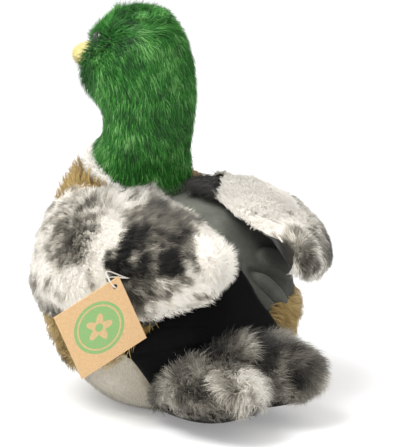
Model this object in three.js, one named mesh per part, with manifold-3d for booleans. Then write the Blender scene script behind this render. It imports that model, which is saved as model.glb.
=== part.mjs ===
import * as THREE from 'three';
import { mergeVertices } from 'three/addons/utils/BufferGeometryUtils.js';
import Module from 'manifold-3d';

// Plush drake, sitting. Millimetres, +Z up, beak towards -Y, its own left side towards +X.
// All sizes are over the pile, lightly pressed.

const wasm = await Module();
wasm.setup();

// Fabric and seams
const pileFabric = 4;
const liningFabric = 1.6;
const seamGap = 0.3;
const cutOverrun = 20;

// Body, an egg that leans forward into the neck
const bodyWidth = 148;
const bodyLength = 148;
const bodyHeight = 128.5;
const seatDepth = 0.5;
const neckForward = 39;
const neckTilt = 18;
const bodySides = 24;
const bellySeamHeight = 32;
const bellySeamRise = 15;
const rumpTopHeight = 88;
const rumpTopWidth = 40;
const rumpWidth = 112;
const rumpFootWidth = 42;
const rumpSeamHeight = 45;
const rumpStart = 22;
const flankSeamHeight = 62;
const flankStart = -25;

// Neck ring
const ringRadius = 31;
const ringHeight = 5.4;
const ringBoreRadius = 21;
const ringSides = 20;
const ringRoundShares = [0.86, 1, 1, 0.86];

// Head and neck, one form that is turned to the duck's left
const headHeight = 93;
const headWidth = 56;
const headLength = 67;
const neckRadius = 26;
const headTurn = 15;
const headBackShare = 0.1;
const headSides = 18;

// Beak
const beakHeight = 192;
const beakWidth = 25;
const upperBeakDepth = 8;
const lowerBeakDepth = 6.5;
const beakLength = 33.5;
const beakTipLength = 53.7;
const beakSides = 20;
const beakRings = 12;
const lowerBeakShare = 0.86;

// Eyes
const eyeRadius = 4.5;
const eyeDome = 3.2;
const eyeStemRadius = 1.5;
const eyeStemLength = 9;
const eyeWasherRadius = 6;
const eyeWasherThickness = 1.2;
const eyeAngle = 27;
const eyeHeightShare = 0.82;
const eyeSides = 16;

// Wings
const wingThickness = 10.6;
const wingEdgeThickness = 1.6;
const wingClearance = 1;
const wingHem = 2.4;
const wingRearAngle = 88;
const wingNeckClearance = 2;
const wingSpread = 11;
const wingDroop = 3;
const wingTipLift = 12;
const wingFillInset = 9;
const wingRows = 12;
const wingColumns = 8;

// Tail
const tailLobeWidth = 47;
const tailLobeHeight = 38;
const tailSplit = 17;
const tailSplitRise = 8;
const tailSides = 12;
const tailGround = 2;

// Tag
const tagSide = 45;
const tagThickness = 0.6;
const tagHoleRadius = 1.6;
const tagHoleInset = 6.5;
const tagAngle = 43;
const tagHeightShare = 0.7;
const tagStandoff = 24;
const tagLean = 18.6;
const tagTip = 6.6;
const tagRise = 4;
const threadDiameter = 0.9;
const threadEndGap = 0.7;
const threadSteps = 24;
const threadSides = 8;

const degrees = Math.PI / 180;
const object = new THREE.Group();

// Solids from and to geometry

function solidOf(geometry) {
  const plain = geometry.clone();
  plain.deleteAttribute('normal');
  plain.deleteAttribute('uv');
  const merged = mergeVertices(plain);
  return new wasm.Manifold(new wasm.Mesh({
    numProp: 3,
    vertProperties: new Float32Array(merged.attributes.position.array),
    triVerts: new Uint32Array(merged.index.array),
  }));
}

function geometryOf(solid) {
  const mesh = solid.getMesh();
  const geometry = new THREE.BufferGeometry();
  geometry.setAttribute('position', new THREE.BufferAttribute(new Float32Array(mesh.vertProperties), 3));
  geometry.setIndex(new THREE.BufferAttribute(new Uint32Array(mesh.triVerts), 1));
  return geometry;
}

function add(name, solid, color, roughness, metalness = 0) {
  const geometry = geometryOf(solid);
  geometry.computeVertexNormals();
  const material = new THREE.MeshStandardMaterial({ color, roughness, metalness });
  const mesh = new THREE.Mesh(geometry, material);
  mesh.name = name;
  object.add(mesh);
}

function indexed(points, triangles) {
  const geometry = new THREE.BufferGeometry();
  const places = points.flatMap((point) => point.toArray());
  geometry.setAttribute('position', new THREE.Float32BufferAttribute(places, 3));
  geometry.setIndex(triangles);
  return geometry;
}

// A closed form through rings of equal count, with a middle point in each end ring
function loft(rings) {
  const sides = rings[0].length;
  const points = rings.flat();
  const triangles = [];
  for (let i = 0; i < rings.length - 1; i += 1) {
    for (let j = 0; j < sides; j += 1) {
      const a = i * sides + j;
      const b = i * sides + ((j + 1) % sides);
      triangles.push(a, b, a + sides, b, b + sides, a + sides);
    }
  }
  const last = (rings.length - 1) * sides;
  const bottom = points.push(middleOf(rings[0])) - 1;
  const top = points.push(middleOf(rings[rings.length - 1])) - 1;
  for (let j = 0; j < sides; j += 1) {
    const next = (j + 1) % sides;
    triangles.push(bottom, next, j, top, last + j, last + next);
  }
  return solidOf(indexed(points, triangles));
}

function middleOf(ring) {
  const middle = new THREE.Vector3();
  ring.forEach((point) => middle.add(point));
  return middle.divideScalar(ring.length);
}

function mix(a, b, share) {
  return a + (b - a) * share;
}

// Value of a table of shares at a place from 0 to 1 along it, straight between entries
function along(shares, place) {
  const step = Math.min(Math.max(place, 0), 1) * (shares.length - 1);
  const index = Math.min(Math.floor(step), shares.length - 2);
  return mix(shares[index], shares[index + 1], step - index);
}

// A form of stations up its height: centre, two half sizes, a tilt that lifts its front, the share of
// its length that its rear half keeps, and a taper that narrows its rear.
// Each station also holds the outward slope of the profile, so a form can be grown or drawn in evenly.
function formOf(plainStations) {
  const stations = plainStations.map((station) => ({ rear: 1, taper: 0, ...station }));
  stations.forEach((station, i) => {
    const below = stations[Math.max(i - 1, 0)];
    const above = stations[Math.min(i + 1, stations.length - 1)];
    const rise = above.z - below.z;
    const widening = (above.across + above.length - below.across - below.length) / 2;
    const size = Math.hypot(rise, widening);
    station.out = rise / size;
    station.up = -widening / size;
  });
  return stations;
}

// Value of a form at a height share, straight between its stations
function formValue(form, share, key) {
  const z = formHeight(form, share);
  let index = 0;
  while (index < form.length - 2 && form[index + 1].z < z) {
    index += 1;
  }
  const place = (z - form[index].z) / (form[index + 1].z - form[index].z);
  return mix(form[index][key], form[index + 1][key], place);
}

function formHeight(form, share) {
  return mix(form[0].z, form[form.length - 1].z, share);
}

// Point of a form at a height share and an angle from +X towards +Y, grown by some length
function formPoint(form, angle, share, grown = 0) {
  const value = (key) => formValue(form, share, key);
  const out = value('out') * grown;
  const rear = Math.max(Math.sin(angle), 0);
  const x = (value('across') + out) * Math.cos(angle) * (1 - value('taper') * rear ** 4);
  const v = (value('length') * (rear > 0 ? value('rear') : 1) + out) * Math.sin(angle);
  const tilt = value('tilt');
  return new THREE.Vector3(
    x,
    value('y') + v * Math.cos(tilt),
    formHeight(form, share) + value('up') * grown - v * Math.sin(tilt),
  );
}

function formShare(form, z) {
  return (z - form[0].z) / (form[form.length - 1].z - form[0].z);
}

function formRings(form, sides, grown = 0) {
  return form.map((station) => Array.from({ length: sides }, (_, j) =>
    formPoint(form, (j / sides) * 2 * Math.PI, formShare(form, station.z), grown)));
}

function box(minX, maxX, minY, maxY, minZ, maxZ) {
  const geometry = new THREE.BoxGeometry(maxX - minX, maxY - minY, maxZ - minZ);
  geometry.translate((minX + maxX) / 2, (minY + maxY) / 2, (minZ + maxZ) / 2);
  return solidOf(geometry);
}

// Body form. Columns: height, half width, forward lean, tilt, length kept at the rear, taper, and the
// place of the shoulder seam in quarter turns from the duck's left
const bodyShares = [
  [0, 0.33, 0, 0, 1, 0.1, -0.5], [0.035, 0.51, 0, 0, 1, 0.2, -0.5], [0.095, 0.66, 0, 0, 1, 0.3, -0.5],
  [0.175, 0.79, 0, 0, 1, 0.4, -0.5], [0.28, 0.912, 0, 0, 1, 0.45, -0.5],
  [0.405, 0.986, 0, 0, 0.98, 0.5, -0.5], [0.53, 1, 0.02, 0, 0.88, 0.5, -0.495],
  [0.655, 0.973, 0.08, 0, 0.78, 0.5, -0.48], [0.775, 0.892, 0.2, 0, 0.73, 0.45, -0.447],
  [0.875, 0.757, 0.41, 0.15, 0.75, 0.35, -0.371], [0.95, 0.6, 0.69, 0.5, 0.83, 0.2, -0.218],
  [0.985, 0.486, 0.87, 0.8, 0.93, 0.1, -0.036], [1, 0.405, 1, 1, 1, 0, 0.243],
];

// The body itself, or the rounder bed that the wings are bent round, which keeps its full rear
function bodyStations(isBed) {
  return bodyShares.map(([height, size, lean, tilt, rear, taper, seam]) => ({
    z: mix(-seatDepth, bodyHeight, height),
    across: size * bodyWidth / 2,
    length: size * bodyLength / 2,
    y: -lean * neckForward,
    tilt: tilt * neckTilt * degrees,
    rear: isBed ? 1 : rear,
    taper: isBed ? 0 : taper,
    seam: seam * 90 * degrees,
  }));
}

const bodyForm = formOf(bodyStations(false));
const wingBed = formOf(bodyStations(true));
const belowSeat = box(-bodyWidth, bodyWidth, -bodyLength, bodyLength, -cutOverrun, 0);
const bodyOuter = loft(formRings(bodyForm, bodySides)).subtract(belowSeat);

// The axis of the neck, through the middle of the ring's seat
const neckFrame = new THREE.Matrix4().makeTranslation(0, -neckForward, bodyHeight)
  .multiply(new THREE.Matrix4().makeRotationX(-neckTilt * degrees));

// A disc or barrel on the neck axis: radii at even steps from one height to another
function onNeck(radii, low, high, sides = ringSides) {
  const rings = radii.map((radius, i) => {
    const z = mix(low, high, i / (radii.length - 1));
    return Array.from({ length: sides }, (_, j) => {
      const angle = (j / sides) * 2 * Math.PI;
      return new THREE.Vector3(radius * Math.cos(angle), radius * Math.sin(angle), z).applyMatrix4(neckFrame);
    });
  });
  return loft(rings);
}

const bodyPocket = loft([
  ...formRings(bodyForm, bodySides, -pileFabric),
  formRings(bodyForm, bodySides, -pileFabric).at(-1).map((point) => point.clone()
    .add(new THREE.Vector3(0, 0, pileFabric).transformDirection(neckFrame).multiplyScalar(pileFabric))),
]);
const bodyStuffing = loft(formRings(bodyForm, bodySides, -pileFabric - seamGap))
  .subtract(onNeck([ringRadius, ringRadius], -seamGap, cutOverrun))
  .add(onNeck([ringBoreRadius - seamGap, ringBoreRadius - seamGap], -pileFabric, ringHeight + seamGap));

// Panels of the body: the belly below a seam that rises to the rear, and the black rump behind
function bellyBelow(shift) {
  const size = 2 * bodyLength;
  const geometry = new THREE.BoxGeometry(size, size, size);
  geometry.translate(0, 0, -size / 2 + shift);
  geometry.rotateX(bellySeamRise * degrees);
  geometry.translate(0, 0, bellySeamHeight);
  return solidOf(geometry);
}

function prism(outline, start, end) {
  const shape = new THREE.Shape(outline.map(([x, z]) => new THREE.Vector2(x, z)));
  const geometry = new THREE.ExtrudeGeometry(shape, { depth: end - start, bevelEnabled: false });
  geometry.rotateX(90 * degrees);
  geometry.translate(0, end, 0);
  return solidOf(geometry);
}

function rumpRegion(grown) {
  const half = rumpTopWidth / 2 + grown;
  const wide = rumpWidth / 2 + grown;
  const foot = rumpFootWidth / 2 + grown;
  const top = rumpTopHeight + grown;
  return prism([
    [-foot, -cutOverrun], [foot, -cutOverrun], [foot, 0], [wide, rumpSeamHeight], [half, top], [-half, top],
    [-wide, rumpSeamHeight], [-foot, 0],
  ], rumpStart - grown, bodyLength);
}

// Grey fabric on the back and under the wings
function flankRegion(grown) {
  const top = bodyHeight + cutOverrun;
  return box(-bodyWidth, bodyWidth, flankStart - grown, bodyLength, flankSeamHeight - grown, top);
}

const bodyShell = bodyOuter.subtract(bodyPocket);
const bellyPanel = bodyShell.intersect(bellyBelow(0)).subtract(rumpRegion(0));
const backPanel = bodyShell.intersect(rumpRegion(-seamGap));
const upperShell = bodyShell.subtract(bellyBelow(seamGap)).subtract(rumpRegion(0));
const breast = upperShell.subtract(flankRegion(seamGap));
const flank = upperShell.intersect(flankRegion(0));
const allHeight = bodyHeight + cutOverrun;
const leftHalf = box(seamGap / 2, bodyWidth, -bodyLength, bodyLength, -cutOverrun, allHeight);
const rightHalf = box(-bodyWidth, -seamGap / 2, -bodyLength, bodyLength, -cutOverrun, allHeight);
add('body_stuffing', bodyStuffing, 0xf2efe6, 1);
add('breast_left', breast.intersect(leftHalf), 0x9b7d41, 1);
add('breast_right', breast.intersect(rightHalf), 0x9b7d41, 1);
add('flank_left', flank.intersect(leftHalf), 0x4c4e4c, 1);
add('flank_right', flank.intersect(rightHalf), 0x4c4e4c, 1);
add('back_panel', backPanel, 0x0b0b0d, 1);
add('belly_panel', bellyPanel, 0xbeb4a5, 1);

// Neck ring, a strip round the stub of stuffing
const neckRing = onNeck(ringRoundShares.map((share) => share * ringRadius), seamGap, ringHeight)
  .subtract(onNeck([ringBoreRadius, ringBoreRadius], -cutOverrun, cutOverrun));
add('neck_ring', neckRing, 0xf0ebe4, 1);

// Head and neck form, from the ring up. Columns: height, half width, half length, forward, tilt.
// Widths are shares of the head, and the lowest two stations are round, on the neck axis.
const headBase = ringHeight + 2 * seamGap;
const headShares = [
  [0.075, 0.93, 0.775, -0.02, 0.6], [0.17, 0.9, 0.75, -0.13, 0.2], [0.3, 0.91, 0.76, -0.17, 0],
  [0.39, 0.945, 0.83, -0.12, 0], [0.475, 0.98, 0.965, -0.01, 0], [0.56, 1, 1, 0.045, 0],
  [0.65, 1, 0.99, 0.08, 0], [0.745, 0.93, 0.885, 0.065, 0], [0.85, 0.8, 0.75, 0.04, 0],
  [0.935, 0.6, 0.56, 0.03, 0], [0.985, 0.38, 0.36, 0.03, 0], [1, 0.16, 0.15, 0.03, 0],
];
const headAxisY = -neckForward + neckRadius * headBackShare;
const headBottom = bodyHeight + headBase * Math.cos(neckTilt * degrees);
const headForm = formOf([
  {
    z: headBottom,
    across: neckRadius,
    length: neckRadius,
    y: headBase * Math.sin(neckTilt * degrees) - neckForward,
    tilt: neckTilt * degrees,
  },
  ...headShares.map(([height, across, length, forward, tilt]) => ({
    z: mix(headBottom, headBottom + headHeight, height),
    across: across * headWidth / 2,
    length: length * headLength / 2,
    y: headAxisY - forward * headLength / 2,
    tilt: tilt * neckTilt * degrees,
  })),
]);

// Turns what lies above the neck to the duck's left, less and less towards the ring
function turned(point) {
  const share = Math.min(Math.max((point.z - bodyHeight - neckRadius / 2) / neckRadius, 0), 1);
  const moved = point.clone();
  moved.y -= headAxisY;
  moved.applyAxisAngle(new THREE.Vector3(0, 0, 1), headTurn * share * degrees);
  moved.y += headAxisY;
  return moved;
}

function headRings(grown) {
  return formRings(headForm, headSides, grown).map((ring) => ring.map(turned));
}

function headFrame() {
  const turn = new THREE.Matrix4().makeRotationZ(headTurn * degrees);
  return new THREE.Matrix4().makeTranslation(0, headAxisY, 0).multiply(turn);
}

const headOuter = loft(headRings(0));
const headPocketRings = headRings(-pileFabric);
const headPocket = loft([
  headPocketRings[0].map((point) => point.clone()
    .add(new THREE.Vector3(0, 0, -1).transformDirection(neckFrame).multiplyScalar(pileFabric))),
  ...headPocketRings,
]);

// An eye on its stem, and the washer behind the fabric: turned about +Z, then set on the head
function lathe(outline, sides = eyeSides) {
  const geometry = new THREE.LatheGeometry(outline.map(([r, z]) => new THREE.Vector2(r, z)), sides);
  geometry.rotateX(90 * degrees);
  return geometry;
}

function eyeOutline(grown) {
  const dome = [30, 60].map((angle) => [
    (eyeRadius + grown) * Math.cos(angle * degrees),
    (eyeDome + grown) * Math.sin(angle * degrees),
  ]);
  const stem = eyeStemRadius + grown;
  return [
    [0, -eyeStemLength - grown], [stem, -eyeStemLength - grown], [stem, -grown],
    [eyeRadius + grown, -grown], ...dome, [0, eyeDome + grown],
  ];
}

function washerOutline(grown, bore) {
  const low = -pileFabric - 2 * seamGap - eyeWasherThickness - grown;
  const high = -pileFabric - 2 * seamGap + grown;
  return [
    [bore, low], [eyeWasherRadius + grown, low], [eyeWasherRadius + grown, high], [bore, high], [bore, low],
  ];
}

function onHead(geometry, side) {
  const share = eyeHeightShare;
  const angle = side > 0 ? -eyeAngle * degrees : Math.PI + eyeAngle * degrees;
  const seat = turned(formPoint(headForm, angle, share, seamGap));
  const outer = turned(formPoint(headForm, angle, share, pileFabric));
  const direction = outer.sub(seat).normalize();
  const spin = new THREE.Quaternion().setFromUnitVectors(new THREE.Vector3(0, 0, 1), direction);
  const placed = geometry.clone();
  placed.applyQuaternion(spin);
  placed.translate(seat.x, seat.y, seat.z);
  return solidOf(placed);
}

let headShell = headOuter.subtract(headPocket);
let headStuffing = loft(headRings(-pileFabric - seamGap));
for (const [name, side] of [['left', 1], ['right', -1]]) {
  const bore = eyeStemRadius + seamGap;
  const hole = onHead(lathe(eyeOutline(seamGap)), side);
  const pocketTop = -pileFabric - seamGap;
  const pocket = onHead(lathe([
    [0, -eyeStemLength - seamGap], [eyeWasherRadius + seamGap, -eyeStemLength - seamGap],
    [eyeWasherRadius + seamGap, pocketTop], [0, pocketTop],
  ]), side);
  headShell = headShell.subtract(hole).subtract(pocket);
  headStuffing = headStuffing.subtract(pocket);
  add(`eye_${name}`, onHead(lathe(eyeOutline(0)), side), 0x0a0a0a, 0.12);
  add(`eye_washer_${name}`, onHead(lathe(washerOutline(0, bore)), side), 0xe8e6e0, 0.5);
}

// Beak: two stuffed halves against the face, with the mouth between them
function beakHalf(side, widthShare, depth) {
  const geometry = new THREE.SphereGeometry(beakLength / 2, beakSides, beakRings);
  geometry.scale(beakWidth / beakLength * widthShare, widthShare, 2 * depth / beakLength);
  geometry.translate(0, beakLength / 2 * widthShare - beakTipLength, beakHeight);
  geometry.applyMatrix4(headFrame());
  const keep = side > 0
    ? box(-bodyWidth, bodyWidth, -2 * bodyLength, bodyLength, beakHeight, beakHeight + headHeight)
    : box(-bodyWidth, bodyWidth, -2 * bodyLength, bodyLength, beakHeight - headHeight, beakHeight - seamGap);
  return solidOf(geometry).intersect(keep).subtract(loft(headRings(seamGap)));
}

add('beak_upper', beakHalf(1, 1, upperBeakDepth), 0xf7e3a0, 1);
add('beak_lower', beakHalf(-1, lowerBeakShare, lowerBeakDepth), 0xf7e3a0, 1);

// Head panels, left and right of a seam over the crown
function headSide(side) {
  const geometry = new THREE.BoxGeometry(bodyWidth, bodyLength, 2 * headHeight);
  geometry.translate(side * (bodyWidth + seamGap) / 2, 0, headBottom + headHeight / 2);
  geometry.applyMatrix4(headFrame());
  return solidOf(geometry);
}

add('head_left', headShell.intersect(headSide(1)), 0x2f7a2f, 1);
add('head_right', headShell.intersect(headSide(-1)), 0x2f7a2f, 1);
add('head_stuffing', headStuffing, 0xf2efe6, 1);

// Wings. Each lies on the body like a curved pad, from a seam at the shoulder to a tip over the rump.
// Along a wing, from its seam to its tip: lower edge, upper edge, thickness and lift off the rump,
// and the lift again across it, from its lower edge to its upper one
const wingLowShares = [0.47, 0.445, 0.46, 0.48, 0.5, 0.51, 0.52, 0.535, 0.555, 0.585, 0.63, 0.7];
const wingTopShares = [0.9, 0.95, 0.965, 0.975, 0.985, 1, 1, 1, 1, 0.99, 0.97, 0.93];
const wingThickShares = [0.35, 0.8, 0.95, 1, 1, 1, 1, 1, 1, 0.98, 0.9, 0.6];
const wingLiftShares = [0, 0, 0, 0, 0, 0, 0, 0, 0.1, 0.3, 0.6, 1];
const wingLiftAcrossShares = [0.5, 0.9, 1, 0.7, 0.35, 0.15, 0.05, 0];

const hingeShares = [0.62, 0.72, 0.82];
const wingLengthShare = 0.8;

// A pad between two offsets from the body, drawn in at its edges by an inset
function wingPad(low, high, inset = 0) {
  const outer = [];
  const inner = [];
  const insetShare = inset / bodyHeight;
  const insetPlace = inset / (bodyWidth * wingLengthShare);
  for (let i = 0; i < wingRows; i += 1) {
    const place = mix(insetPlace, 1 - insetPlace, i / (wingRows - 1));
    for (let j = 0; j < wingColumns; j += 1) {
      const across = j / (wingColumns - 1);
      const bottom = along(wingLowShares, place) + insetShare;
      const top = along(wingTopShares, place) - insetShare;
      const share = mix(bottom, top, across);
      const full = (share - bottom + insetShare) / (top - bottom + 2 * insetShare);
      const angle = mix(formValue(wingBed, share, 'seam'), wingRearAngle * degrees, place);
      const crown = Math.sqrt(Math.max(1 - Math.abs(2 * full - 1) ** 3, 0));
      const lift = along(wingLiftShares, place) * along(wingLiftAcrossShares, full) * wingTipLift;
      const thick = Math.max(along(wingThickShares, place) * crown * wingThickness, wingEdgeThickness);
      outer.push(formPoint(wingBed, angle, share, high(lift, thick)));
      inner.push(formPoint(wingBed, angle, share, low(lift, thick)));
    }
  }
  return slab(outer, inner, wingRows, wingColumns);
}

// A closed slab between two grids of points
function slab(outer, inner, rows, columns) {
  const triangles = [];
  const shift = outer.length;
  const quad = (a, b, c, d) => triangles.push(a, b, c, a, c, d);
  for (let i = 0; i < rows - 1; i += 1) {
    for (let j = 0; j < columns - 1; j += 1) {
      const a = i * columns + j;
      quad(a, a + columns, a + columns + 1, a + 1);
      quad(shift + a, shift + a + 1, shift + a + columns + 1, shift + a + columns);
    }
    const right = (i + 1) * columns - 1;
    quad(i * columns, shift + i * columns, shift + (i + 1) * columns, (i + 1) * columns);
    quad(right, right + columns, shift + right + columns, shift + right);
  }
  for (let j = 0; j < columns - 1; j += 1) {
    const last = (rows - 1) * columns + j;
    quad(j, j + 1, shift + j + 1, shift + j);
    quad(last, shift + last, shift + last + 1, last + 1);
  }
  return solidOf(indexed([...outer, ...inner], triangles));
}

function neckRoomOf(radius) {
  return onNeck([radius, radius], -cutOverrun, headHeight);
}

const neckRoom = neckRoomOf(ringRadius + wingNeckClearance);
const fillRoom = neckRoomOf(ringRadius + wingNeckClearance + pileFabric);
const bodyRoom = loft(formRings(bodyForm, bodySides, seamGap));
const bedOf = (lift) => Math.max(lift, wingClearance);
const wingBlank = wingPad(bedOf, (lift, thick) => bedOf(lift) + thick)
  .subtract(neckRoom).subtract(bodyRoom);
const wingLining = wingPad(bedOf, (lift) => bedOf(lift) + liningFabric, wingHem)
  .subtract(fillRoom).subtract(bodyRoom);
const liningRoom = wingPad(
  () => -pileFabric,
  (lift) => bedOf(lift) + liningFabric + 3 * seamGap,
  wingHem - seamGap,
);
const wingPocket = wingPad(bedOf, (lift, thick) => bedOf(lift) + thick - pileFabric, wingFillInset);
const wingFilling = wingPad(
  (lift) => bedOf(lift) + liningFabric + 4 * seamGap,
  (lift, thick) => bedOf(lift) + thick - pileFabric - seamGap,
  wingFillInset + seamGap,
).subtract(fillRoom);
const wingOuter = wingBlank.subtract(liningRoom).subtract(wingPocket);

// The shoulder seam, about which a wing swings out
const [hingeLow, wingHinge, hingeTop] = hingeShares.map((share) =>
  formPoint(wingBed, formValue(wingBed, share, 'seam'), share, wingClearance + seamGap));
const hingeAxis = hingeLow.clone().sub(hingeTop).normalize();

function mirrored(solid) {
  const geometry = geometryOf(solid);
  geometry.scale(-1, 1, 1);
  const index = geometry.index.array;
  for (let i = 0; i < index.length; i += 3) {
    [index[i], index[i + 1]] = [index[i + 1], index[i]];
  }
  return solidOf(geometry);
}

// The right wing is the left one mirrored, dropped a little and swung out from its own seam
function spread(solid) {
  const geometry = geometryOf(mirrored(solid));
  const axis = new THREE.Vector3(hingeAxis.x, -hingeAxis.y, -hingeAxis.z);
  const out = new THREE.Vector3(-1, -1, 0).normalize();
  geometry.translate(wingHinge.x, -wingHinge.y, -wingHinge.z);
  geometry.applyQuaternion(new THREE.Quaternion().setFromAxisAngle(out, wingDroop * degrees));
  geometry.applyQuaternion(new THREE.Quaternion().setFromAxisAngle(axis, wingSpread * degrees));
  geometry.translate(-wingHinge.x, wingHinge.y, wingHinge.z);
  return solidOf(geometry);
}

add('wing_left_outer', wingOuter, 0x9a938a, 1);
add('wing_left_lining', wingLining, 0x4c4e4c, 1);
add('wing_left_filling', wingFilling, 0xf2efe6, 1);
add('wing_right_outer', spread(wingOuter), 0x9a938a, 1);
add('wing_right_lining', spread(wingLining), 0x4c4e4c, 1);
add('wing_right_filling', spread(wingFilling), 0xf2efe6, 1);

// Tail: two fat lobes on a shared root. Along a lobe: width and height
const lobeWidthShares = [0.8, 0.92, 1, 1, 0.94, 0.78, 0.52, 0.28];
const lobeHeightShares = [0.86, 0.94, 1, 1, 0.92, 0.76, 0.52, 0.3];
const lobePlaceShares = [0, 0.17, 0.35, 0.52, 0.7, 0.85, 0.96, 1];
// The near lobe, the far lobe and the root between them. Columns: root across, back and up, tip across,
// back and up, all in half body lengths, then width and height
const lobeShares = [
  [0.243, 0.514, 0.257, 0.176, 1.514, 0.419, 1, 1],
  [-0.243, 0.514, 0.27, -0.527, 1.311, 0.446, 0.94, 1],
  [0, 0.595, 0.432, 0, 1.216, 0.486, 1.15, 1.1],
];

function lobe(shares, grown) {
  const [start, end] = [0, 3].map((first) =>
    new THREE.Vector3(...shares.slice(first, first + 3)).multiplyScalar(bodyLength / 2));
  const forward = end.clone().sub(start).normalize();
  const across = new THREE.Vector3(0, 0, 1).cross(forward).normalize();
  const up = forward.clone().cross(across);
  start.addScaledVector(forward, -grown);
  end.addScaledVector(forward, grown);
  return loft(lobePlaceShares.map((place, i) => {
    const centre = start.clone().lerp(end, place);
    const halfWidth = shares[6] * lobeWidthShares[i] * tailLobeWidth / 2 + grown;
    const halfHeight = shares[7] * lobeHeightShares[i] * tailLobeHeight / 2 + grown;
    return Array.from({ length: tailSides }, (_, j) => {
      const angle = (j / tailSides) * 2 * Math.PI;
      return centre.clone()
        .addScaledVector(across, halfWidth * Math.cos(angle))
        .addScaledVector(up, halfHeight * Math.sin(angle));
    });
  }));
}

function tailForm(grown) {
  const [near, far, root] = lobeShares.map((shares) => lobe(shares, grown));
  return near.add(far).add(root);
}

function tailBelow(shift) {
  const size = 2 * bodyLength;
  const geometry = new THREE.BoxGeometry(size, size, size);
  geometry.translate(0, 0, -size / 2 + shift);
  geometry.rotateX(tailSplitRise * degrees);
  geometry.translate(0, bodyLength / 2, tailSplit);
  return solidOf(geometry);
}

const fillingRoom = loft(formRings(bodyForm, bodySides, seamGap + pileFabric));
const underGround = box(-bodyWidth, bodyWidth, -bodyLength, 2 * bodyLength, -cutOverrun, tailGround);
const tailShell = tailForm(0).subtract(bodyRoom).subtract(underGround)
  .subtract(tailForm(-pileFabric).subtract(fillingRoom));
add('tail_top', tailShell.subtract(tailBelow(seamGap)), 0x77726a, 1);
add('tail_underside', tailShell.intersect(tailBelow(0)), 0x0b0b0d, 1);
add('tail_filling', tailForm(-pileFabric - seamGap)
  .subtract(loft(formRings(bodyForm, bodySides, 2 * seamGap + pileFabric))), 0xf2efe6, 1);

// Tag: a square card that hangs by the hole near its top corner, in a frame whose origin is the hole
const tagSeat = formPoint(wingBed, tagAngle * degrees, tagHeightShare);
const tagHole = formPoint(
  wingBed, tagAngle * degrees, tagHeightShare, wingClearance + wingThickness + tagStandoff,
);
const tagFrame = new THREE.Matrix4()
  .makeTranslation(tagHole.x, tagHole.y, tagSeat.z + tagRise)
  .multiply(new THREE.Matrix4().makeRotationY(-tagLean * degrees))
  .multiply(new THREE.Matrix4().makeRotationX(-tagTip * degrees));

function tagCard() {
  const card = new THREE.BoxGeometry(tagSide, tagThickness, tagSide);
  card.rotateY(45 * degrees);
  card.translate(0, 0, tagHoleInset - tagSide / Math.SQRT2);
  card.applyMatrix4(tagFrame);
  const bore = new THREE.CylinderGeometry(tagHoleRadius, tagHoleRadius, cutOverrun, eyeSides);
  bore.applyMatrix4(tagFrame);
  return solidOf(card).subtract(solidOf(bore));
}

// The thread: out of the wing's seam, over the card's edge, through the hole and back.
// Columns: aside and up in insets of the hole, off the card in clearances of the thread
const threadShares = [
  [0.9, 0.75, -2], [0.8, 0.5, 0.8], [0.3, 0.1, 1.1], [0, 0, 0.5], [-0.05, 0.02, -1.4], [0.2, 0.2, -3.4],
];

function tagThread() {
  const clear = tagThickness / 2 + threadDiameter;
  const ends = [1, -1].map((side) => formPoint(
    wingBed, tagAngle * degrees - side * threadDiameter / bodyWidth * 2, tagHeightShare,
    wingClearance + wingThickness + threadEndGap,
  ));
  const held = threadShares.map(([aside, up, off]) =>
    new THREE.Vector3(aside * tagHoleInset, off * clear, up * tagHoleInset).applyMatrix4(tagFrame));
  const path = new THREE.CatmullRomCurve3([ends[0], ...held, ends[1]]);
  const section = new THREE.Shape(Array.from({ length: threadSides }, (_, j) => {
    const angle = (j / threadSides) * 2 * Math.PI;
    return new THREE.Vector2(Math.cos(angle), Math.sin(angle)).multiplyScalar(threadDiameter / 2);
  }));
  return solidOf(new THREE.ExtrudeGeometry(section, {
    steps: threadSteps, extrudePath: path, bevelEnabled: false,
  }));
}

add('tag_card', tagCard(), 0xdeb88c, 0.9);
add('tag_thread', tagThread(), 0xe6e1dd, 0.8);

// The origin is the middle of the footprint
const bounds = new THREE.Box3().setFromObject(object);
const middle = bounds.getCenter(new THREE.Vector3()).setZ(0);
object.children.forEach((mesh) => mesh.position.copy(middle).negate());

export default object;
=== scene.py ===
import itertools
import math

import bpy
import numpy as np
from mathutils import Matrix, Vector


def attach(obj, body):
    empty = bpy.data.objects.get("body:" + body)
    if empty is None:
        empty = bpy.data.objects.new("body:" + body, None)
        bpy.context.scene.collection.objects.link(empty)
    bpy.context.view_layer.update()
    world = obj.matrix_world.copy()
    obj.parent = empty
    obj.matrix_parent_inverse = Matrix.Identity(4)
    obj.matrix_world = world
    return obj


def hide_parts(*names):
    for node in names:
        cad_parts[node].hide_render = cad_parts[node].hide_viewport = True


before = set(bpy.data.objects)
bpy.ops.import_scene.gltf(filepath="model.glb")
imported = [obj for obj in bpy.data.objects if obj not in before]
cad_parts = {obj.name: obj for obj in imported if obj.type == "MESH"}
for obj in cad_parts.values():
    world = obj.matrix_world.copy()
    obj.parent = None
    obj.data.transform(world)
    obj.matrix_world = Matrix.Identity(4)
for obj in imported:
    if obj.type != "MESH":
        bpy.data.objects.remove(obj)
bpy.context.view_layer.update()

degrees = math.pi / 180
strandShare = 1.0

# Sizes are in millimetres on the pattern, with the beak towards -Y, and go to metres in the row frame
# once a piece is made.
pattern = {
    "middle": (10.418, 12.243, 0.0),  # middle of the footprint
    "pile": 4.0,
    "seamGap": 0.3,
}


# numbers and shapes

def paint(red, green, blue):
    # a screen colour, 0 to 255, as the renderer's linear values
    c = np.array([red, green, blue]) / 255
    linear = np.where(c <= 0.04045, c / 12.92, ((c + 0.055) / 1.055) ** 2.4)
    return (*linear.tolist(), 1.0)


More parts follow.
